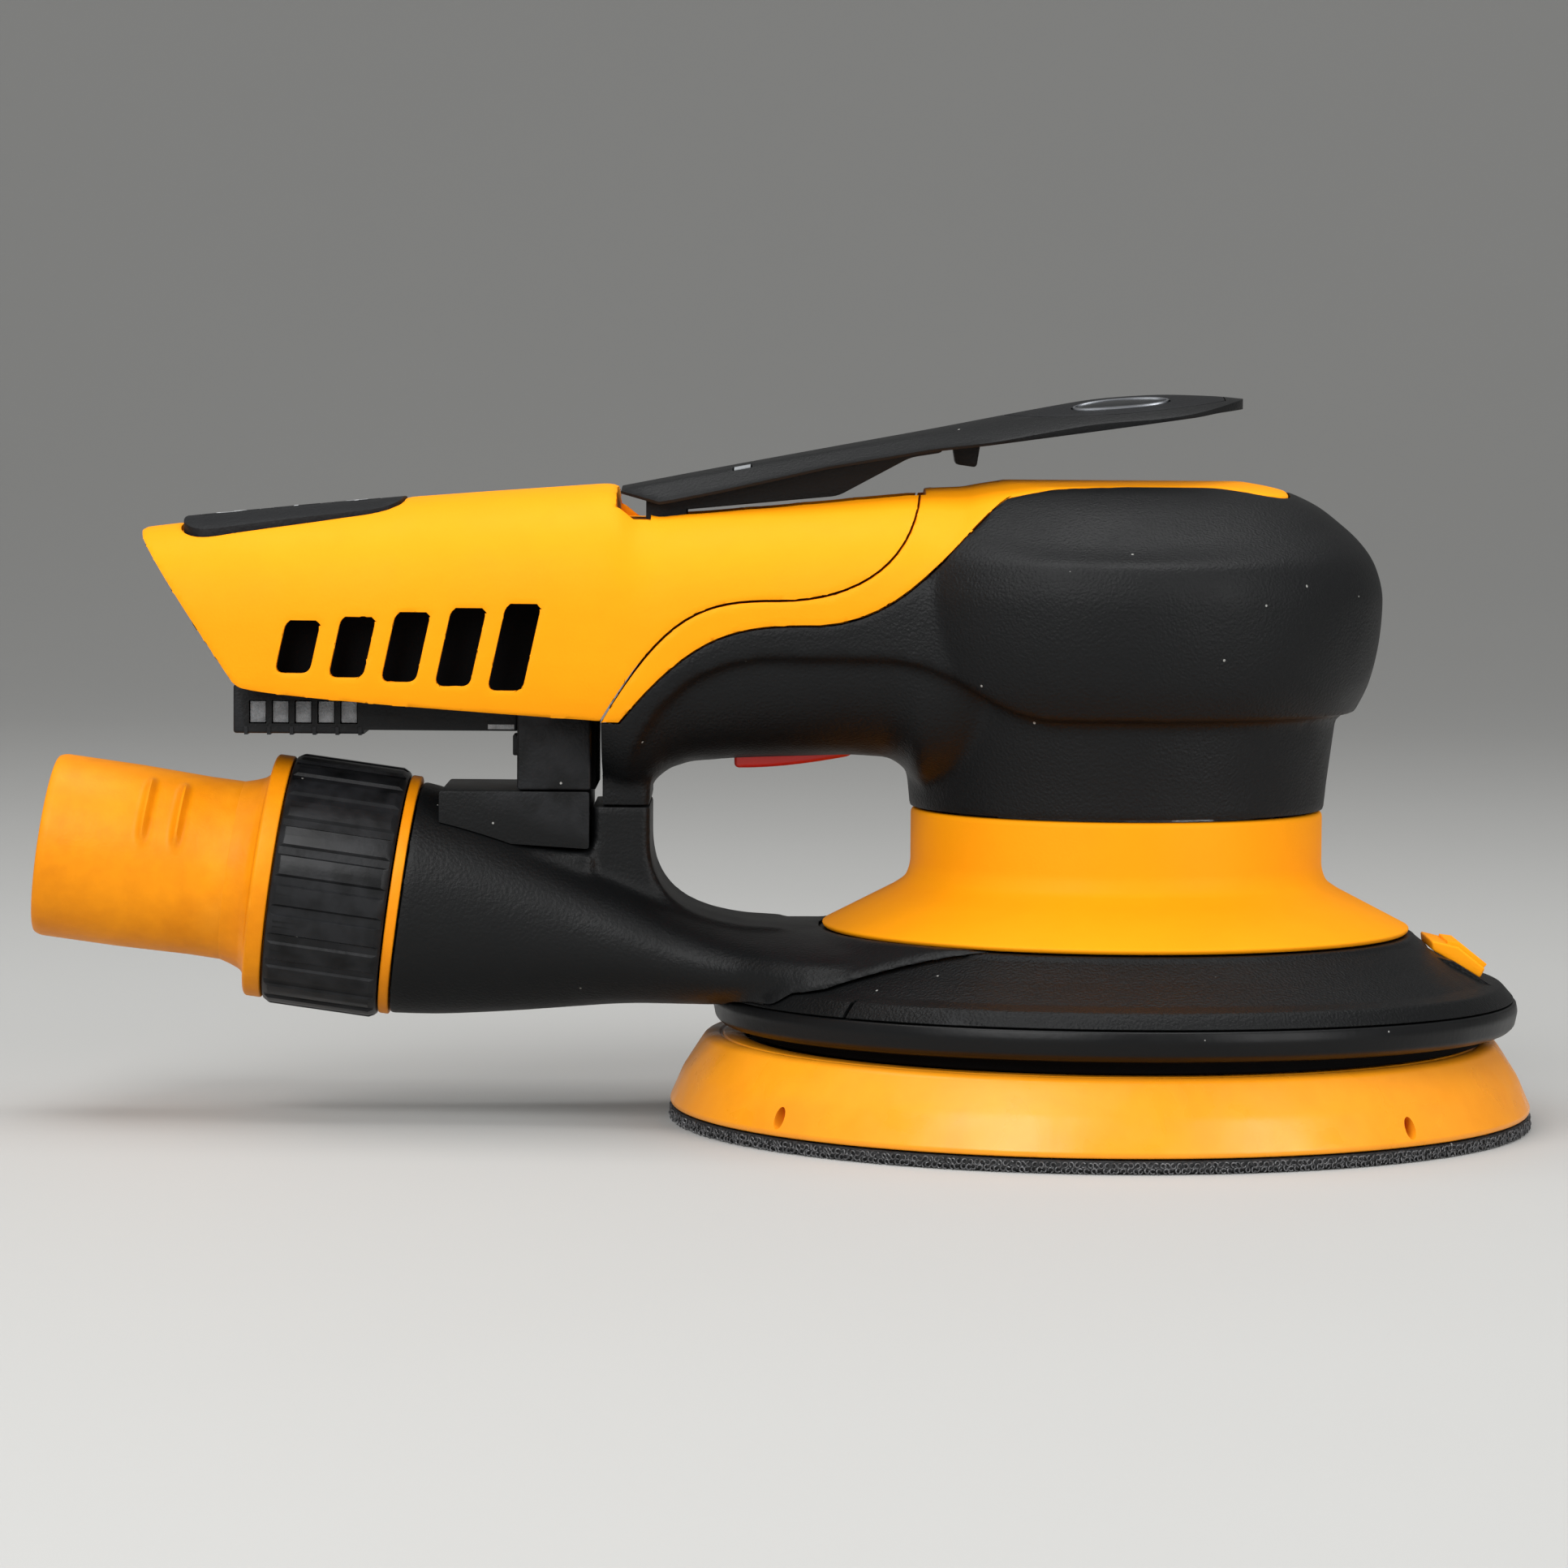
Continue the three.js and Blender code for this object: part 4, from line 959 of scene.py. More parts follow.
    def rear_cover(self, form: Obj) -> Obj:
        """Cuts the rear cover out of the whole form and hollows it. Returns the piece."""
        cover = kept(form, self.behind_rear_seam(0.15), self.tail_outline())
        cover = cut(cover, self.cover_void(), self.trough(), ControlPad(self).seat())
        cover = cut(cover, slab(-104.2, -90.8, 16.5, 50, 73), *[self.vent(i) for i in range(5)])
        for y in (-13.65, 13.65):
            cover = added(cover, block((-82.5, y - 1.85, 96.5), (-75.5, y + 1.85, 102.5)))
        slots = [block((-85, y - 2.4, 95), (-73, y + 2.4, 112)) for y in (-9, 9)]
        cover = cut(cover, *slots, cross_bar(1.5, 16.2, -79, 99))
        return finished(softened(cover, 0.2, 0.6), "cover_shell", YELLOW, "housing", ("rear_cover",), 50)

    def main_housing(self, form: Obj) -> Obj:
        """Cuts the housing out of the whole form, with its core under the rubber. Returns the piece."""
        shown = cut(form, self.below_rubber_seam(0.12))
        core = kept(self.inner(WALL + GAP), self.below_rubber_seam(0.12))
        core = cut(core, slab(-60, 60, 60, 0, self.neck_foot))
        housing = cut(added(shown, core), self.behind_rear_seam(0), slab(-200, -89.6, 60, 0, 200))
        housing = cut(housing, self.crowned(self.motor_void()), slab(-100, -20, 21, 68.5, 100.5))
        housing = cut(housing, slab(-34, -19, 5.6, 90, 103.6), self.tooth_slot(), self.trough())
        housing = cut(housing, self.trigger_slot())
        for y in (-8.9, 8.9):
            housing = added(housing, block((-50.5, y - 2.1, 67.6), (-43.5, y + 2.1, 72)))
        housing = cut(housing, cross_bar(1.5, 20, -47, 69))
        housing = softened(housing, 0.2, 0.6)
        return finished(housing, "housing_shell", YELLOW, "housing", ("main_housing",), 50)

    @staticmethod
    def motor_void() -> Obj:
        """Returns the domed hollow for the motor."""
        wall = [(30.6, 48), (31.8, 70), (37.5, 76.8), (39.7, 90), (36.4, 99), (27, 104.4)]
        return spun([(0, 48), *wall, (0, 105.6)])

    @staticmethod
    def tooth_slot() -> Obj:
        """Returns the slot that the lever's tooth drops into."""
        return slab(-32, -21, 4.6, 100, 130)

    @staticmethod
    def trigger_slot() -> Obj:
        """Returns the slot in the handle's underside for the trigger."""
        return slab(-68.8, -44, 6.4, 40, 69)

    def rubber_grip(self, form: Obj) -> Obj:
        """Cuts the rubber skin out of the whole form. Returns the piece."""
        grip = cut(kept(form, self.below_rubber_seam(0)), self.inner(WALL), self.behind_rear_seam(0))
        below = [slab(-60, 60, 60, 0, self.neck_foot), slab(-100, -60, 30, 0, 55.3)]
        grip = cut(grip, slab(-200, self.grip_back, 60, 0, 200), *below)
        grip = cut(grip, self.tooth_slot(), self.trigger_slot())
        return finished(softened(grip, 0.2, 0.6), "grip_skin", RUBBER, "housing", ("rubber_grip",), 50)

    def build(self) -> None:
        """Builds the three shells from one flowing form."""
        form = self.whole()
        self.rear_cover(copied(form))
        self.main_housing(copied(form))
        self.rubber_grip(form)


@dataclass
class ControlPad:
    """Rubber keypad on the tail, with a power, a minus and a plus key."""

    shell: BodyShell
    back: float = -161.9
    front: float = -124.2
    half_width: float = 13.0
    lift: Table = field(default_factory=lambda: [(-162, 1.1), (-140, 0.85), (-124.2, 0.3)])
    keys: tuple[tuple[str, float, float], ...] = (
        ("power_key", -154.5, 5.0), ("minus_key", -143.0, 4.0), ("plus_key", -132.5, 4.0),
    )

    def plan(self, grow: float) -> Obj:
        """Returns the prism of the pad's outline, grown by a distance."""
        x0, x1, half = self.back - grow, self.front + grow, self.half_width + grow
        return Outline(rounded([(x0, -half), (x1, -half), (x1, half), (x0, half)], 6.5, 10)).plan(90, 120)

    @staticmethod
    def key_plan(x: float, half: float, grow: float) -> Obj:
        """Returns the prism of a key's outline, grown by a distance."""
        x0, x1, y = x - half - grow, x + half + grow, 5 + grow
        return Outline(rounded([(x0, -y), (x1, -y), (x1, y), (x0, y)], 3.8, 8)).plan(90, 120)

    def raised(self, by: float) -> Obj:
        """Returns the tail's form with its top at the pad's surface plus a distance."""
        return self.shell.handle(lift=[(x, rise + by) for x, rise in self.lift])

    def seat(self) -> Obj:
        """Returns the tool for the pad's seat in the cover."""
        return cut(self.plan(GAP), self.shell.handle(1.1))

    def key(self, name: str, x: float, half: float) -> None:
        """Builds one key and its icon."""
        body = cut(kept(self.key_plan(x, half, 0), self.raised(0.02)), self.raised(-0.2))
        finished(bevelled(body, 0.15, 2), name + "_cap", KEY_RUBBER, name, (name,))
        icon = added(*self.icon(name, x))
        icon = cut(kept(icon, self.raised(0.05)), self.raised(-0.1))
        finished(icon, name + "_icon", ICON, name)

    @staticmethod
    def icon(name: str, x: float) -> list[Obj]:
        """Returns the prisms of a key's plain icon."""
        if name == "power_key":
            wheel = cut(disc(2.5, 90, 120), disc(1.9, 80, 130), block((0, -0.9, 80), (5, 0.9, 130)))
            return [shifted(wheel, x, 0, 0), block((x + 0.6, -0.3, 90), (x + 2.8, 0.3, 120))]
        bars = [block((x - 0.35, -1.9, 90), (x + 0.35, 1.9, 120))]
        if name == "plus_key":
            bars.append(block((x - 1.9, -0.35, 90), (x + 1.9, 0.35, 120)))
        return bars

    def build(self) -> None:
        """Builds the pad and its keys."""
        pad = cut(kept(self.plan(0), self.raised(0)), self.shell.handle(0.8))
        for _, x, half in self.keys:
            pad = cut(pad, cut(self.key_plan(x, half, 0.35), self.shell.handle(0.45)))
        finished(bevelled(pad, 0.35, 3, 40), "control_mat", KEY_RUBBER, "housing", ("control_pad",))
        for name, x, half in self.keys:
            self.key(name, x, half)


# ---------- motor bell, dust shroud, edge ring ----------
@dataclass
class Shroud:
    """Yellow motor bell, black dust shroud with its edge ring, brake seal and ring latch."""

    arch: float = 0.8  # the rim stands slightly higher at the sides than at the front

    def arched(self, profile: Table, steps: int = STEPS) -> Obj:
        """Returns a spun profile whose rim rises towards the sides."""
        body = spun(profile, steps)
        for vertex in body.data.vertices:
            x, y, z = vertex.co
            radius = math.hypot(x, y)
            vertex.co.z = z + self.arch * eased(52.2, 66.1, radius) * (y / max(radius, 1e-6)) ** 2
        return body

    def bell(self) -> None:
        """Builds the motor bell."""
        wall = spun(rounded([
            (33.3, 54.4), (35.8, 54.4), (35.8, 44.6), (36.6, 42.2), (38.8, 40.7), (51.2, 34.3), (50.8, 33.5),
            (48, 33.5), (36.6, 39.6), (33.3, 42.8),
        ], 1.0, 4))
        web = spun([(11.3, 45.3), (34.8, 45.3), (34.8, 48.3), (11.3, 48.3)])
        holes = around(4, lambda _: shifted(disc(5, 40, 52, 32), 23, 0, 0))
        finished(cut(added(wall, web), *holes), "bell_shell", YELLOW, "housing", ("motor_bell",))

    def shroud(self, duct: "DustDuct") -> None:
        """Builds the shroud, with its latch pocket, its air window and a small catch slot."""
        skin = self.arched(rounded([
            (40, 31), (40, 33.2), (51.9, 33.2), (52.6, 32.4), (58, 29), (64.2, 25.5), (67.3, 24.7),
            (69.6, 22.15), (67.2, 22.15), (66.2, 22.8), (63.3, 23.5), (51.2, 30.4),
        ], 0.5, 4))
        under = Outline([(53.5, 30.5), (53.5, 27.5), (63.3, 22.6), (66, 22.6), (66, 24.2), (58, 29.2)])
        pocket = Outline(rounded([(54, 34), (54, 30.4), (62.8, 25.3), (67.5, 29), (60, 34)], 0.8, 3))
        body = cut(added(skin, under.side(13.5)), pocket.side(11.5, 2), duct.air_way(), disc(39.9, 10, 45))
        body = cut(body, *self.catch_slots())
        finished(softened(body, 0.12, 0.5), "shroud_skin", SHROUD_BLACK, "housing", ("dust_shroud",), 35)

    @staticmethod
    def catch_slots() -> list[Obj]:
        """Returns the tools for the small hooked slot at each side of the rim."""
        tools = []
        for side in (-1, 1):
            turn = Matrix.Rotation(math.radians(180 + side * 46.5), 4, "Z")
            tools.append(placed(block((66.2, -0.35, 22.5), (72, 0.35, 26.6)), turn))
            tools.append(placed(block((65.4, -0.35, 25.4), (72, 1.6, 26.6)), turn))
        return tools

    def edge_ring(self) -> None:
        """Builds the glossy ring under the shroud."""
        ring = self.arched(rounded([
            (66.9, 21.95), (69.75, 21.95), (70.1, 20.3), (69.6, 17.9), (68.6, 17.0), (65.6, 16.4), (65, 17.2),
            (66.9, 19.4),
        ], 0.5, 4))
        finished(ring, "rim_ring", GLOSS_BLACK, "housing", ("edge_ring",))

    @staticmethod
    def seal() -> None:
        """Builds the brake seal, near-black as painted shade under the edge ring."""
        ring = spun(rounded([(62, 15.2), (64.5, 15.2), (64.5, 22), (62, 22)], 0.4, 3))
        finished(ring, "seal_ring", SHADE_SEAL_BLACK, "housing", ("brake_seal",))

    @staticmethod
    def latch() -> None:
        """Builds the ribbed slide that locks the edge ring."""
        plate = Outline([(54.4, 32.4), (54.6, 30.7), (62.9, 25.9), (63.8, 27.6), (59.1, 31.3)]).side(9)
        plate = bevelled(plate, 0.4)
        rib = [(57.4, 32.2), (57.4, 31), (63.2, 26.8), (64.4, 28.1), (59.6, 31.9)]
        for i in range(7):
            plate = added(plate, bevelled(Outline(list(rib)).side(0.55, -6 + 2 * i), 0.15, 2))
        finished(plate, "latch_slide_piece", YELLOW, "ring_latch", ("ring_latch",))

    def build(self, duct: "DustDuct") -> None:
        """Builds all the pieces under the neck."""
        self.bell()
        self.shroud(duct)
        self.edge_ring()
        self.seal()
        self.latch()


# ---------- dust duct and hose port ----------
@dataclass
class Port:
    """The tilted axis of the hose port, and the turned pieces on it."""

    x: float = -123.5
    z: float = 38.2
    tilt: float = math.degrees(math.atan2(8.4, 61))
    lock_ribs: int = 26

    def set_on(self, body: Obj) -> Obj:
        """Puts a body turned about +Z onto the port's axis, with +Z pointing out. Returns it."""
        lean = Matrix.Rotation(math.radians(-90 + self.tilt), 4, "Y")
        return placed(body, Matrix.Translation((self.x, 0, self.z)) @ lean)

    def collar(self) -> None:
        """Builds the thin yellow collar."""
        ring = spun(rounded([(17.9, 0.3), (20.95, 0.3), (20.95, 2.1), (17.9, 2.1)], 0.35, 4))
        finished(self.set_on(ring), "collar_ring", SPIGOT_YELLOW, "housing", ("port_collar",))

    def lock_ring(self) -> None:
        """Builds the ribbed locking ring."""
        points = []
        for i in range(self.lock_ribs):
            start = 360 / self.lock_ribs * i
            for share, radius in ((0, 21.9), (0.3, 21.97), (0.6, 21.9), (0.66, 21.5), (0.92, 21.45)):
                angle = math.radians(start + share * 360 / self.lock_ribs)
                points.append((radius * math.cos(angle), radius * math.sin(angle)))
        gear = Outline(points).plan(1, 24)
        sleeve = spun([
            (18, 2.4), (21.1, 2.4), (21.5, 2.8), (21.9, 3.6), (22.2, 4.2), (22.2, 20.4), (21.8, 21.4),
            (21.3, 22.2), (20.9, 22.4), (19.6, 22.4), (19.6, 4.6), (18, 4.6),
        ])
        rim_profile = [(19.4, 2.4), (21.1, 2.4), (21.35, 2.9), (21.35, 21.9), (20.9, 22.4), (19.6, 22.4)]
        rims = spun(rounded(rim_profile, 0.3, 2))
        rims = cut(rims, disc(19.6, 4.6, 30, STEPS))
        body = added(kept(gear, sleeve), rims)
        body = self.set_on(bevelled(body, 0.16, 2, 25))
        finished(body, "lock_collar", GLOSS_BLACK, "lock_ring", ("lock_ring",), 30)

    def spigot(self) -> None:
        """Builds the swivelling hose spigot with two moulded beads on its side."""
        fine = [(15.62 + 0.0095 * i, 36.5 + 0.35 * i) for i in range(36)]
        profile = rounded([
            (17.9, 13), (19.3, 13), (19.3, 22.7), (21.25, 22.7), (21.25, 25.4), (20.9, 25.8), (17.9, 26.2),
            (16.9, 27.2), (16.2, 29), (15.62, 31),
        ], 0.4, 4) + fine + rounded([
            (15.95, 62.4), (15.5, 63.6), (13.9, 63.6), (13.6, 62.6), (13.6, 25), (17.9, 21),
        ], 0.5, 4)
        tube = spun(profile, 160)
        for vertex in tube.data.vertices:
            x, y, s = vertex.co
            radius = math.hypot(x, y)
            if radius < 15 or not 36 < s < 50:
                continue
            rise = math.degrees(math.atan2(x, -y))
            along = math.exp(-(((rise - 39) / 23) ** 6))
            bead = sum(math.exp(-(((s - middle) / 0.75) ** 2)) for middle in (40.2, 46.0))
            share = 1 + 1.6 * along * bead / radius
            vertex.co.x, vertex.co.y = x * share, y * share
        finished(self.set_on(tube), "spigot_tube", SPIGOT_YELLOW, "spigot", ("hose_spigot",))

    def build(self) -> None:
        """Builds the pieces on the port."""
        self.collar()
        self.lock_ring()
        self.spigot()


@dataclass
class DustDuct:
    """Black air duct that runs from the hose port under the loop and wraps the bell."""

    port: Port
    top: Table = field(default_factory=lambda: [
        (-128, 59.4), (-118, 57.4), (-106, 53), (-95, 47.6), (-85, 42.6), (-75, 37.6), (-66, 34.7), (-56, 34),
        (-38, 33.8), (-18, 33.8),
    ])
    bottom: Table = field(default_factory=lambda: [
        (-128, 17.9), (-118, 17.7), (-106, 18.3), (-95, 19.2), (-85, 20), (-75, 20.1), (-66, 20.3), (-56, 21),
        (-18, 24),
    ])
    half_width: Table = field(default_factory=lambda: [
        (-128, 20.7), (-118, 21), (-106, 21.6), (-95, 22.4), (-85, 23.8), (-75, 25.6), (-66, 29.5), (-60, 34),
        (-56, 36.5), (-53, 38), (-38, 42.5), (-30, 45), (-18, 47),
    ])

    def form(self, inset: float = 0.0) -> Obj:
        """Returns the lofted duct."""
        tops, bottoms, halves = (flowing(table, 3) for table in (self.top, self.bottom, self.half_width))
        rings = []
        for i in range(56):
            x = -128 + 2 * i
            low, high = value_at(bottoms, x) + inset, value_at(tops, x) - inset
            rings.append(oval_ring(x, value_at(halves, x) - inset, low, high, 2.3, 64))
        return lofted(rings)

    def air_way(self) -> Obj:
        """Returns the hollow from the port's neck to the window in the shroud."""
        way = kept(self.form(WALL), slab(-118, -53.5, 22, 0, 100))
        return added(way, self.port.set_on(disc(15, -12, 14, 96)))

    @staticmethod
    def riser() -> Obj:
        """Returns the riser that carries the rubber column, with the loop's inner curve."""
        shape = Outline([(-91, 62), (-91, 40), (-62, 28), (-58, 34.2), (-64, 34.6)])
        shape.curve((-74, 35.6), (-80.8, 39), (-81, 49)).line((-81, 62))
        return shape.side(14)

    @staticmethod
    def wings() -> Obj:
        """Returns the two wings that lie on the shroud's cone and run forward to the bell."""
        shape = Outline([(-22, -46.9), (-53.3, -38.9), (-60, -35.4), (-67, -29), (-67, 29), (-60, 35.4)])
        shape.line((-53.3, 38.9), (-22, 46.9))
        slope = [(69.6, 16), (69.6, 23.7), (67.7, 26.1), (64.7, 27.2), (53.1, 33.7), (50, 34)]
        return kept(shape.plan(17, 36), spun([(0, 16), *slope, (0, 34)]))

    def over_cone(self) -> Obj:
        """Returns the tool that fits the duct over the shroud and the bell."""
        return Shroud().arched([
            (0, 12), (68.5, 12), (70.4, 17), (70.4, 21.8), (67.5, 25), (64.4, 25.9), (52.9, 32.8),
            (51.7, 33.3), (51.7, 34.8), (38.9, 41.3), (36.4, 42.6), (0, 44),
        ])

    def duct(self) -> None:
        """Builds the duct with its neck and riser."""
        flank = Outline([(-114, 49), (-91, 47.2), (-91, 30), (-114, 35)]).side(15.7)
        shape = joined(self.form(), self.riser(), flank, self.wings())
        shape = flowed(shape, 0.9, 7)
        shoulder = self.port.set_on(block((-200, -200, -200), (200, 200, 0)))
        neck = self.port.set_on(spun([(14.5, -4), (17.6, -4), (17.6, 12), (14.5, 12)], 96))
        shape = added(kept(shape, shoulder), neck)
        shape = cut(shape, self.air_way(), self.over_cone(), slab(-21, 200, 100, 0, 33.2))
        shape = cut(shape, slab(-99.5, -95.5, 2, 44, 56), slab(-100, -70, 30, 55, 70))
        shape = cut(shape, slab(-120, 0, 80, 0, 10))
        finished(softened(shape, 0.22, 0.8), "duct_shell", DUCT_BLACK, "housing", ("dust_duct",), 45)

    def saddle(self) -> None:
        """Builds the cap on top of the duct."""
        corners = [(-117.2, 57.6), (-117.2, 49.3), (-91.4, 47.8), (-91.4, 57.6)]
        cap = Outline(rounded(corners, 0.5, 3)).side(15.85)
        cap = cut(cap, self.form(-0.35), slab(-99.7, -95.3, 2.2, 40, 70))
        finished(bevelled(cap, 0.4), "duct_cap", DUCT_BLACK, "housing", ("duct_saddle",))

    @staticmethod
    def bracket() -> None:
        """Builds the block between duct and tail, with a catch at each side, and a near-black sheet as
        painted shade in the slit behind it.
        """
        body = bevelled(slab(-103.8, -91.1, 16, 57.9, 72.5), 0.5)
        body = cut(body, slab(-100.3, -94.7, 13, 57, 66), shifted(disc(2.3, 60, 75), -97.5, 0, 0))
        for y in (-9.5, 9.5):
            body = added(body, bevelled(block((-104.7, y - 3, 63.6), (-102, y + 3, 67.2)), 0.3, 2))
        finished(body, "bracket_block", DUCT_BLACK, "housing", ("duct_bracket",))
        # A near-black sheet fills the slit to the grip column: painted shade, so no light shows through.
        finished(slab(-91.5, -90.4, 12.8, 57.9, 73.4), "bracket_gap_shade", SHADE_SEAL_BLACK, "housing")

    def build(self) -> None:
        """Builds the duct's pieces."""
        self.duct()
        self.saddle()
        self.bracket()


# ---------- tail: filter and power inlet ----------
@dataclass
class Tail:
    """Filter under the tail and the power inlet in its slanted end."""

    shell: BodyShell

    @staticmethod
    def filter_frame() -> None:
        """Builds the filter's frame with five windows a side, and the fleece in it."""
        body = bevelled(slab(-152.7, -103.8, 14, 67.2, 75.6), 0.5)
        ribs = [-150.5 + 3.92 * i for i in range(6)]
        body = added(body, *[block((x - 0.3, -14.25, 67.0), (x + 0.3, 14.25, 68.4)) for x in ribs])
        body = cut(body, slab(-150.5, -105.5, 12, 68.9, 80), slab(-130.2, -100, 20, 66, 67.9))
        body = cut(body, *[block((x + 0.5, -20, 68.9), (x + 3.5, 20, 72.9)) for x in ribs[:5]])
        finished(body, "filter_cage", DUCT_BLACK, "housing", ("filter_frame",))
        fleece = bevelled(slab(-150.2, -106, 11.6, 69.2, 72.2), 0.5)
        fleece = added(fleece, *[slab(x + 0.7, x + 3.3, 13.3, 69.1, 72.7) for x in ribs[:5]])
        fleece = added(fleece, slab(-108.9, -104.4, 14.1, 68.2, 69.0))
        finished(fleece, "filter_mat", FLEECE, "housing", ("filter_fleece",))

    @staticmethod
    def vent_shadow_tray() -> None:
        """Builds the thin black tray behind the vents, open at both ends: a dark sheet painting the shade
        seen through the vents.
        """
        tray = cut(slab(-147.6, -97, 17, 74.6, 96.6), slab(-150, -95, 16.4, 75.2, 96))
        finished(tray, "vent_shadow_tray", SHADE_SEAL_BLACK, "housing")

    def inlet(self) -> None:
        """Builds the slanted plate with its socket."""
        plate = Outline([(-167.6, 101.4), (-152.2, 78.3), (-150, 79.8), (-165.2, 102.6)]).side(30)
        plate = kept(plate, self.shell.handle(WALL + GAP), slab(-200, 0, 40, 0, 101.4))
        cup = [(0, -7), (8.5, -7), (8.5, 1.2), (6.8, 1.2), (6.8, -5.4), (0, -5.4)]
        socket = spun(rounded(cup, 0.3, 3), 64)
        turn = Matrix.Translation((-159.2, 0, 89.5)) @ Matrix.Rotation(math.radians(-123.9), 4, "Y")
        body = cut(plate, placed(disc(8, -4, 6, 64), turn))
        body = added(body, placed(socket, turn))
        body = cut(body, *[placed(shifted(disc(1.45, -14, -5, 24), 0, y, 0), turn) for y in (-3.4, 3.4)])
        finished(body, "inlet_plate", DUCT_BLACK, "housing", ("power_inlet",))

    def build(self) -> None:
        """Builds the tail's pieces."""
        self.filter_frame()
        self.vent_shadow_tray()
        self.inlet()


# ---------- lever and trigger ----------
@dataclass
class Lever:
    """Palm lever with its soft inlay, two blank badges and a lamp window."""

    ridge: Table = field(default_factory=lambda: [
        (-86.3, 110), (-70, 113.2), (-50, 117), (-34, 120), (-20.3, 122.7), (-12, 124.3), (-5.7, 125.4),
        (0, 126), (7, 126.4), (14, 126.3), (18, 126.1), (21.2, 125.8),
    ])
    edge: Table = field(default_factory=lambda: [
        (-86.3, 108.8), (-79.5, 106.9), (-67.5, 109.4), (-51, 113.2), (-32.4, 116.4), (-23.7, 117.4),
        (-3, 120.3), (12.7, 122.55), (16.3, 123.3), (21.2, 124),
    ])
    crown: float = 34.0  # radius across the front of the lever
    badge: tuple[float, float, float, float] = (-0.4, 8.2, 8.3, 3.0)

    def half_width(self, x: float) -> float:
        """Returns half the lever's width at x."""
        if x <= 3:
            return value_at([(-86.3, 13.5), (-40, 16.5), (3, 16.5)], x)
        return max(0.9, 16.5 * math.sqrt(max(0.0, 1 - ((x - 3) / 18.25) ** 2)))

    def drop(self, x: float, y: float, half: float) -> float:
        """Returns how far the top lies under its ridge: a round crown in front, flanks behind."""
        round_drop = self.crown - math.sqrt(self.crown**2 - y * y)
        flat = 0.6 * min(1.0, abs(y) / 9.0) ** 2
        slope = max(0.0, abs(y) - 9.0) / max(half - 9.0, 0.1) * 3.6
        share = eased(-40, -22, x)
        return round_drop * share + (flat + slope) * (1 - share)

    def form(self) -> Obj:
        """Returns the crowned bar of the lever."""
        ridges, edges = flowing(self.ridge, 4), self.edge
        stations = [-86.3 + 2.2 * i for i in range(41)]
        stations += [3 + 18.2 * math.sin(math.radians(5 * i)) for i in range(1, 19)]
        rings = []
        for x in stations:
            half, floor = self.half_width(x), value_at(edges, x)
            ring = []
            for i in range(33):
                y = -half + 2 * half * i / 32
                ring.append(Vector((x, y, max(value_at(ridges, x) - self.drop(x, y, half), floor + 0.5))))
            ring += [Vector((x, half * share, floor)) for share in (0.985, 0.5, 0, -0.5, -0.985)]
            rings.append(ring)
        return lofted(rings)

    @staticmethod
    def inlay_plan(grow: float) -> Obj:
        """Returns the prism of the soft inlay's outline, grown by a distance."""
        shape = oval(0, 0, 20.2 + grow, 13.6 + grow, 96)
        return kept(shape.plan(100, 140), slab(-40, 17.6 + grow, 30, 90, 140))

    def badge_plan(self, side: int, grow: float) -> Obj:
        """Returns the prism of a badge's outline, grown by a distance."""
        x, y, half_x, half_y = self.badge
        return oval(x, side * y, half_x + grow, half_y + grow).plan(100, 140)

    def bar(self, top: Obj) -> None:
        """Builds the lever's bar with its stiffening blade, tooth and hinge ears."""
        blade = Outline(rounded([
            (-78, 109), (-78, 105.8), (-49, 108.6), (-36.6, 115.3), (-31, 116.2), (-31, 118), (-50, 114),
        ], 1.2, 3)).side(10.5)
        hook = [(-29.3, 118.5), (-28.6, 114.1), (-25, 113.6), (-24.2, 118.5)]
        tooth = Outline(rounded(hook, 0.6, 3)).side(3.6)
        ears = [Outline([(-82, 109), (-82, 96), (-76, 96), (-74.8, 109)]).side(1.5, y) for y in (-9, 9)]
        pocket = cut(self.inlay_plan(0.22), shifted(copied(top), 0, 0, -1.3))
        body = added(bevelled(top, 0.45, 3, 28), bevelled(blade, 0.4, 2), bevelled(tooth, 0.3, 2), *ears)
        body = cut(body, pocket, block((-67.2, -9.6, 100), (-63.8, -7, 130)), cross_bar(1.5, 30, -79, 99))
        finished(body, "lever_bar", LEVER_BLACK, "lever", ("lever",), 32)

    def inlay(self, top: Obj) -> None:
        """Builds the soft inlay."""
        skin = cut(kept(self.inlay_plan(0), copied(top)), shifted(copied(top), 0, 0, -1))
        skin = cut(skin, self.badge_plan(-1, GAP), self.badge_plan(1, GAP))
        finished(bevelled(skin, 0.12, 2), "lever_soft_inlay", KEY_RUBBER, "lever", ("lever_inlay",), 32)

    def badges(self, top: Obj) -> None:
        """Builds a silver rim with a blank dark centre on each flank."""
        for side, label in ((-1, "right"), (1, "left")):
            rim = cut(self.badge_plan(side, 0), self.badge_plan(side, -0.45))
            rim = kept(rim, shifted(copied(top), 0, 0, 0.2))
            rim = cut(rim, shifted(copied(top), 0, 0, -0.95))
            node = "lever_badge_" + label
            finished(rim, node + "_rim", SILVER, "lever", (node,), 32)
            plate = kept(self.badge_plan(side, -0.5), shifted(copied(top), 0, 0, 0.02))
            plate = cut(plate, shifted(copied(top), 0, 0, -0.9))
            finished(plate, node + "_centre", DARK_PLATE, "lever", (), 32)

    @staticmethod
    def lamp(top: Obj) -> None:
        """Builds the lamp window."""
        window = kept(block((-66.9, -9.3, 108), (-64.1, -7.3, 130)), copied(top))
        finished(window, "lamp_pane", LAMP, "lever", ("led_window",))

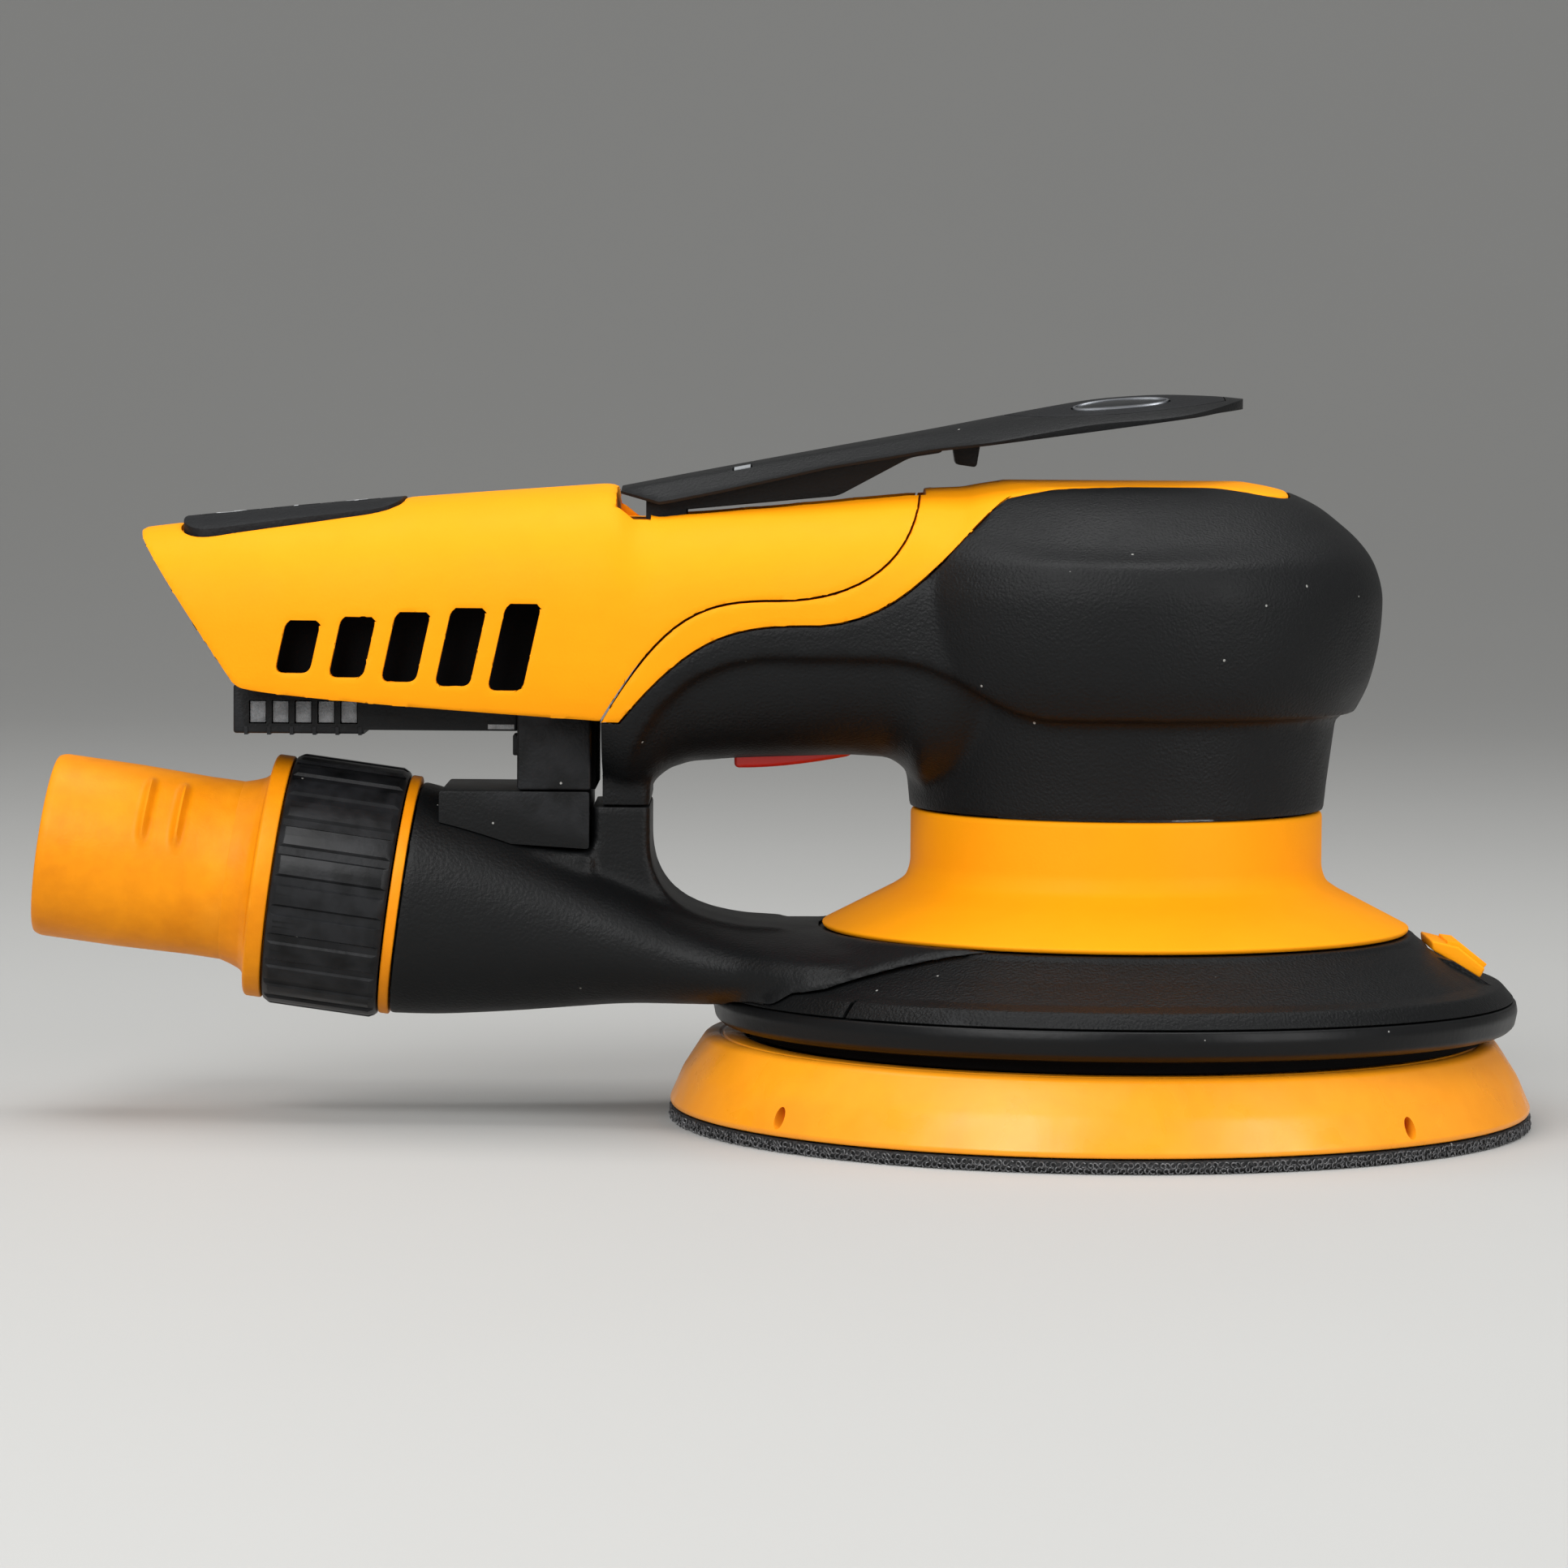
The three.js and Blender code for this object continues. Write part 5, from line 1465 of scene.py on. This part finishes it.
    @staticmethod
    def trigger() -> None:
        """Builds the red trigger in the finger loop."""
        shape = Outline([(-66.6, 61.3)]).bend((-58, 61.2), (-46.4, 63.5), 10)
        shape.line((-44.6, 66), (-44.6, 71.2), (-49.4, 71.2), (-51.5, 68.95), (-66.6, 68.95))
        body = cut(bevelled(shape.side(5.9), 0.8, 3), cross_bar(1.5, 30, -47, 69))
        finished(body, "trigger_tongue", RED, "trigger", ("trigger",))

    def build(self) -> None:
        """Builds the lever's pieces and the trigger."""
        top = self.form()
        self.inlay(top)
        self.badges(top)
        self.lamp(top)
        self.bar(top)
        self.trigger()


# ---------- sanding pad ----------
@dataclass
class SandingPad:
    """Foam pad with a glossy skin, hook face and the loops round its edge."""

    centre: float = -2.5
    holes: int = 6
    loop_groups: int = 40
    loops_in_group: int = 12

    def at_pad(self, body: Obj) -> Obj:
        """Moves a body from the motor's axis to the pad's. Returns it."""
        return shifted(body, self.centre, 0, 0)

    def dust_holes(self) -> list[Obj]:
        """Returns the tools for the dust holes."""
        return around(self.holes, lambda _: shifted(disc(5, -5, 30, 40), 40, 0, 0), 30)

    @staticmethod
    def side_bore(grow: float, depth: float) -> Callable[[int], Obj]:
        """Returns a maker of the oval bores that let the pad's side breathe."""
        def make(_: int) -> Obj:
            """Returns one bore."""
            bore = disc(1.1 + grow, -depth, 6, 28)
            upright = Matrix.Scale(1.6, 4, (0, 0, 1)) @ Matrix.Rotation(math.pi / 2, 4, "Y")
            return placed(bore, Matrix.Translation((72, 0, 5.6)) @ upright)
        return make

    def foam(self) -> None:
        """Builds the foam body."""
        profile = rounded([
            (9, 2.6), (74.8, 2.6), (75, 3.4), (72.7, 8.7), (69.8, 13.2), (68.9, 14.5), (67.6, 14.9),
            (66.4, 14.9), (66.2, 14.5), (65.9, 14.5), (65.7, 14.9), (61.8, 14.9), (61.8, 10.3), (9, 10.3),
        ], 0.9, 5)
        body = cut(spun(profile, 180), *self.dust_holes(), *around(4, self.side_bore(0, 6), 41))
        body = self.at_pad(softened(body, 0.12, 0.4, 50))
        piece = finished(body, "pad_body", PAD_YELLOW, "pad", ("pad_foam",), 40)

    def bore_shade_liners(self) -> None:
        """Builds orange-red liners inside the side bores: painted shade and painted glow of light through the
        foam.
        """
        for i in range(4):
            make = self.side_bore(-0.02, 4.6)
            outside = spun([(71.9, 0), (90, 0), (90, 12), (71.9, 12)])
            shade_liner = cut(make(i), self.side_bore(-0.3, 3.6)(i), outside)
            placed(shade_liner, Matrix.Rotation(math.radians(41 + 90 * i), 4, "Z"))
            finished(self.at_pad(shade_liner), f"vent_bore_shade_{i + 1}", BORE_SHADE_ORANGE, "pad")

    def hook_face(self) -> None:
        """Builds the hook layer."""
        layer = spun(rounded([(9, 0.15), (74.2, 0.15), (74.7, 0.6), (74.7, 2.3), (9, 2.3)], 0.3, 3), 180)
        layer = self.at_pad(cut(layer, *self.dust_holes()))
        finished(layer, "hook_layer", HOOK_BLACK, "pad", ("hook_face",))

    @staticmethod
    def hook_loop() -> Obj:
        """Returns one wire loop of the hook fabric, about 1 mm across, in the X-Z plane."""
        bpy.ops.object.select_all(action="DESELECT")
        bpy.ops.mesh.primitive_circle_add(vertices=4, radius=0.13, fill_type="NGON")
        loop = bpy.context.object
        for vertex in loop.data.vertices:
            x, y, _ = vertex.co
            vertex.co = (0.43 + x, 0, y)
        bpy.ops.object.mode_set(mode="EDIT")
        bpy.ops.mesh.select_all(action="SELECT")
        bpy.ops.mesh.spin(steps=8, angle=math.radians(285), center=(0, 0, 0), axis=(0, 0, 1))
        bpy.ops.object.mode_set(mode="OBJECT")
        closed_up(loop)
        return placed(loop, Matrix.Rotation(math.pi / 2, 4, "X"))

    def loops(self) -> None:
        """Builds the loops that stand out round the pad's edge."""
        draw = random.Random(11)
        first = self.hook_loop()
        group = []
        pitch = 2 * math.pi / self.loop_groups / self.loops_in_group
        for i in range(self.loops_in_group):
            for height in (0.62, 1.5):
                loop = copied(first)
                spin = Matrix.Rotation(draw.uniform(0, 6.28), 4, "Y")
                yaw = Matrix.Rotation(draw.uniform(-0.6, 0.6), 4, "Z")
                tilt = yaw @ Matrix.Rotation(draw.uniform(-0.3, 0.3), 4, "X")
                out, up = draw.uniform(0, 0.2), draw.uniform(-0.06, 0.1)
                spot = Matrix.Translation((0, -74.75 - out, height + up))
                step = i + (0.5 if height > 1 else 0) + draw.uniform(-0.2, 0.2)
                turn = Matrix.Rotation(pitch * step, 4, "Z")
                group.append(placed(loop, turn @ spot @ tilt @ spin))
        thrown_away(first)
        cluster = joined(*group)
        copies = [copied(cluster) for _ in range(1, self.loop_groups)]
        for i, twin in enumerate(copies):
            placed(twin, Matrix.Rotation(2 * math.pi * (i + 1) / self.loop_groups, 4, "Z"))
        fringe = self.at_pad(joined(cluster, *copies))
        finished(fringe, "hook_fringe", HOOK_WIRE, "pad", (), 60)

    def build(self) -> None:
        """Builds the pad's pieces."""
        self.foam()
        self.bore_shade_liners()
        self.hook_face()
        self.loops()


# ---------- pieces kept from the CAD ----------
class Works:
    """The drive, electronics and pins, shown as the CAD has them, each with its own finish."""

    finishes: dict[str, Finish] = {
        "inlet_pin_live": BRASS, "inlet_pin_neutral": BRASS, "controller_board": BOARD,
        "capacitor": GLOSS_BLACK, "heat_sink": ALUMINIUM,
        "lever_pin": STEEL, "lever_spring": STEEL, "lever_switch": DUCT_BLACK,
        "trigger_pin": STEEL, "trigger_switch": DUCT_BLACK, "stator_core": STEEL, "winding_lower": COPPER,
        "winding_upper": COPPER, "motor_cap": ALUMINIUM, "cap_screw_1": STEEL, "cap_screw_2": STEEL,
        "cap_screw_3": STEEL, "bearing_upper": STEEL, "bearing_lower": STEEL, "rotor_shaft": STEEL,
        "rotor_core": STEEL, "fan_wheel": GLOSS_BLACK, "counterweight": BRASS, "spindle_bearing": STEEL,
        "pad_spindle": STEEL, "backing_plate": DUCT_BLACK, "pad_bolt": STEEL, "bracket_screw": STEEL,
    }

    def dress(self) -> None:
        """Gives every kept piece its finish."""
        for name, finish in self.finishes.items():
            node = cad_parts[name]
            node.data.materials.clear()
            node.data.materials.append(finish.material())


# ---------- floor, lights and camera ----------
@dataclass
class Studio:
    """Pale floor, soft lights and the camera."""

    eye: tuple[float, float, float] = (-0.05794, -1.0, 0.12536)
    pitch: float = 86.156
    roll: float = 0.412
    lens: float = 131.9

    @staticmethod
    def floor() -> None:
        """Lays a pale floor that the pad stands on and that curves up into a wall behind it."""
        curve = Outline([(-6.0, -0.05), (-6.0, 0.0), (1.2, 0.0)]).bend((3.2, 0.0), (3.2, 2.0), 24)
        curve.line((3.2, 5.0), (3.25, 5.0), (3.25, -0.05))
        ground = pulled([Vector((-8, y, z)) for y, z in curve.points], Vector((16, 0, 0)))
        ground.name = "floor"
        bpy.ops.object.shade_smooth_by_angle(angle=math.radians(40))
        paper = Finish("pale_floor", 0xAEAEAC, 0xA8A8A6, 0.7, marks=0.2, marks_scale=1.5, grain_depth=0.05)
        ground.data.materials.clear()
        ground.data.materials.append(paper.material())

    @staticmethod
    def softbox(
        name: str,
        spot: tuple[float, float, float],
        aim: tuple[float, float, float],
        size: Point,
        power: float,
    ) -> None:
        """Hangs a rectangular soft light.

        Args:
            name: the light's name.
            spot: where it hangs, in metres.
            aim: the point it faces.
            size: its width and height.
            power: its power in watts.
        """
        bpy.ops.object.light_add(type="AREA", location=spot)
        lamp = bpy.context.object
        lamp.name = name
        lamp.data.shape = "RECTANGLE"
        lamp.data.size, lamp.data.size_y = size
        lamp.data.energy = power
        lamp.rotation_euler = (Vector(aim) - Vector(spot)).to_track_quat("-Z", "Y").to_euler()

    def lights(self) -> None:
        """Sets the soft studio light."""
        centre = (-0.05, 0.0, 0.06)
        self.softbox("key_light", (-0.55, -0.9, 0.75), centre, (0.7, 0.9), 12.5)
        self.softbox("fill_light", (0.75, -0.8, 0.45), centre, (0.5, 0.9), 6.5)
        self.softbox("top_light", (-0.05, 0.05, 1.0), centre, (1.1, 0.6), 8)
        world = bpy.data.worlds.new("studio")
        bpy.context.scene.world = world
        world.use_nodes = True
        world.node_tree.nodes["Background"].inputs["Color"].default_value = (1, 1, 1, 1)
        world.node_tree.nodes["Background"].inputs["Strength"].default_value = 0.42

    def camera(self) -> None:
        """Places the camera, level with the tool and a little above it."""
        bpy.ops.object.camera_add(location=self.eye)
        camera = bpy.context.object
        camera.data.lens = self.lens
        camera.data.sensor_width = 36.0
        nod = Matrix.Rotation(math.radians(self.pitch), 4, "X")
        camera.rotation_euler = (nod @ Matrix.Rotation(math.radians(self.roll), 4, "Z")).to_euler()
        bpy.context.scene.camera = camera

    def build(self) -> None:
        """Sets up the studio."""
        self.floor()
        self.lights()
        self.camera()
        bpy.context.scene.view_settings.view_transform = "Standard"


def main() -> None:
    """Builds every sub-assembly in order, then the studio."""
    logging.basicConfig(level=logging.INFO, format="%(name)s: %(message)s")
    shell = BodyShell()
    port = Port()
    duct = DustDuct(port)
    shell.build()
    ControlPad(shell).build()
    Shroud().build(duct)
    duct.build()
    port.build()
    Tail(shell).build()
    Lever().build()
    SandingPad().build()
    Works().dress()
    Studio().build()


if __name__ == "__main__":
    main()
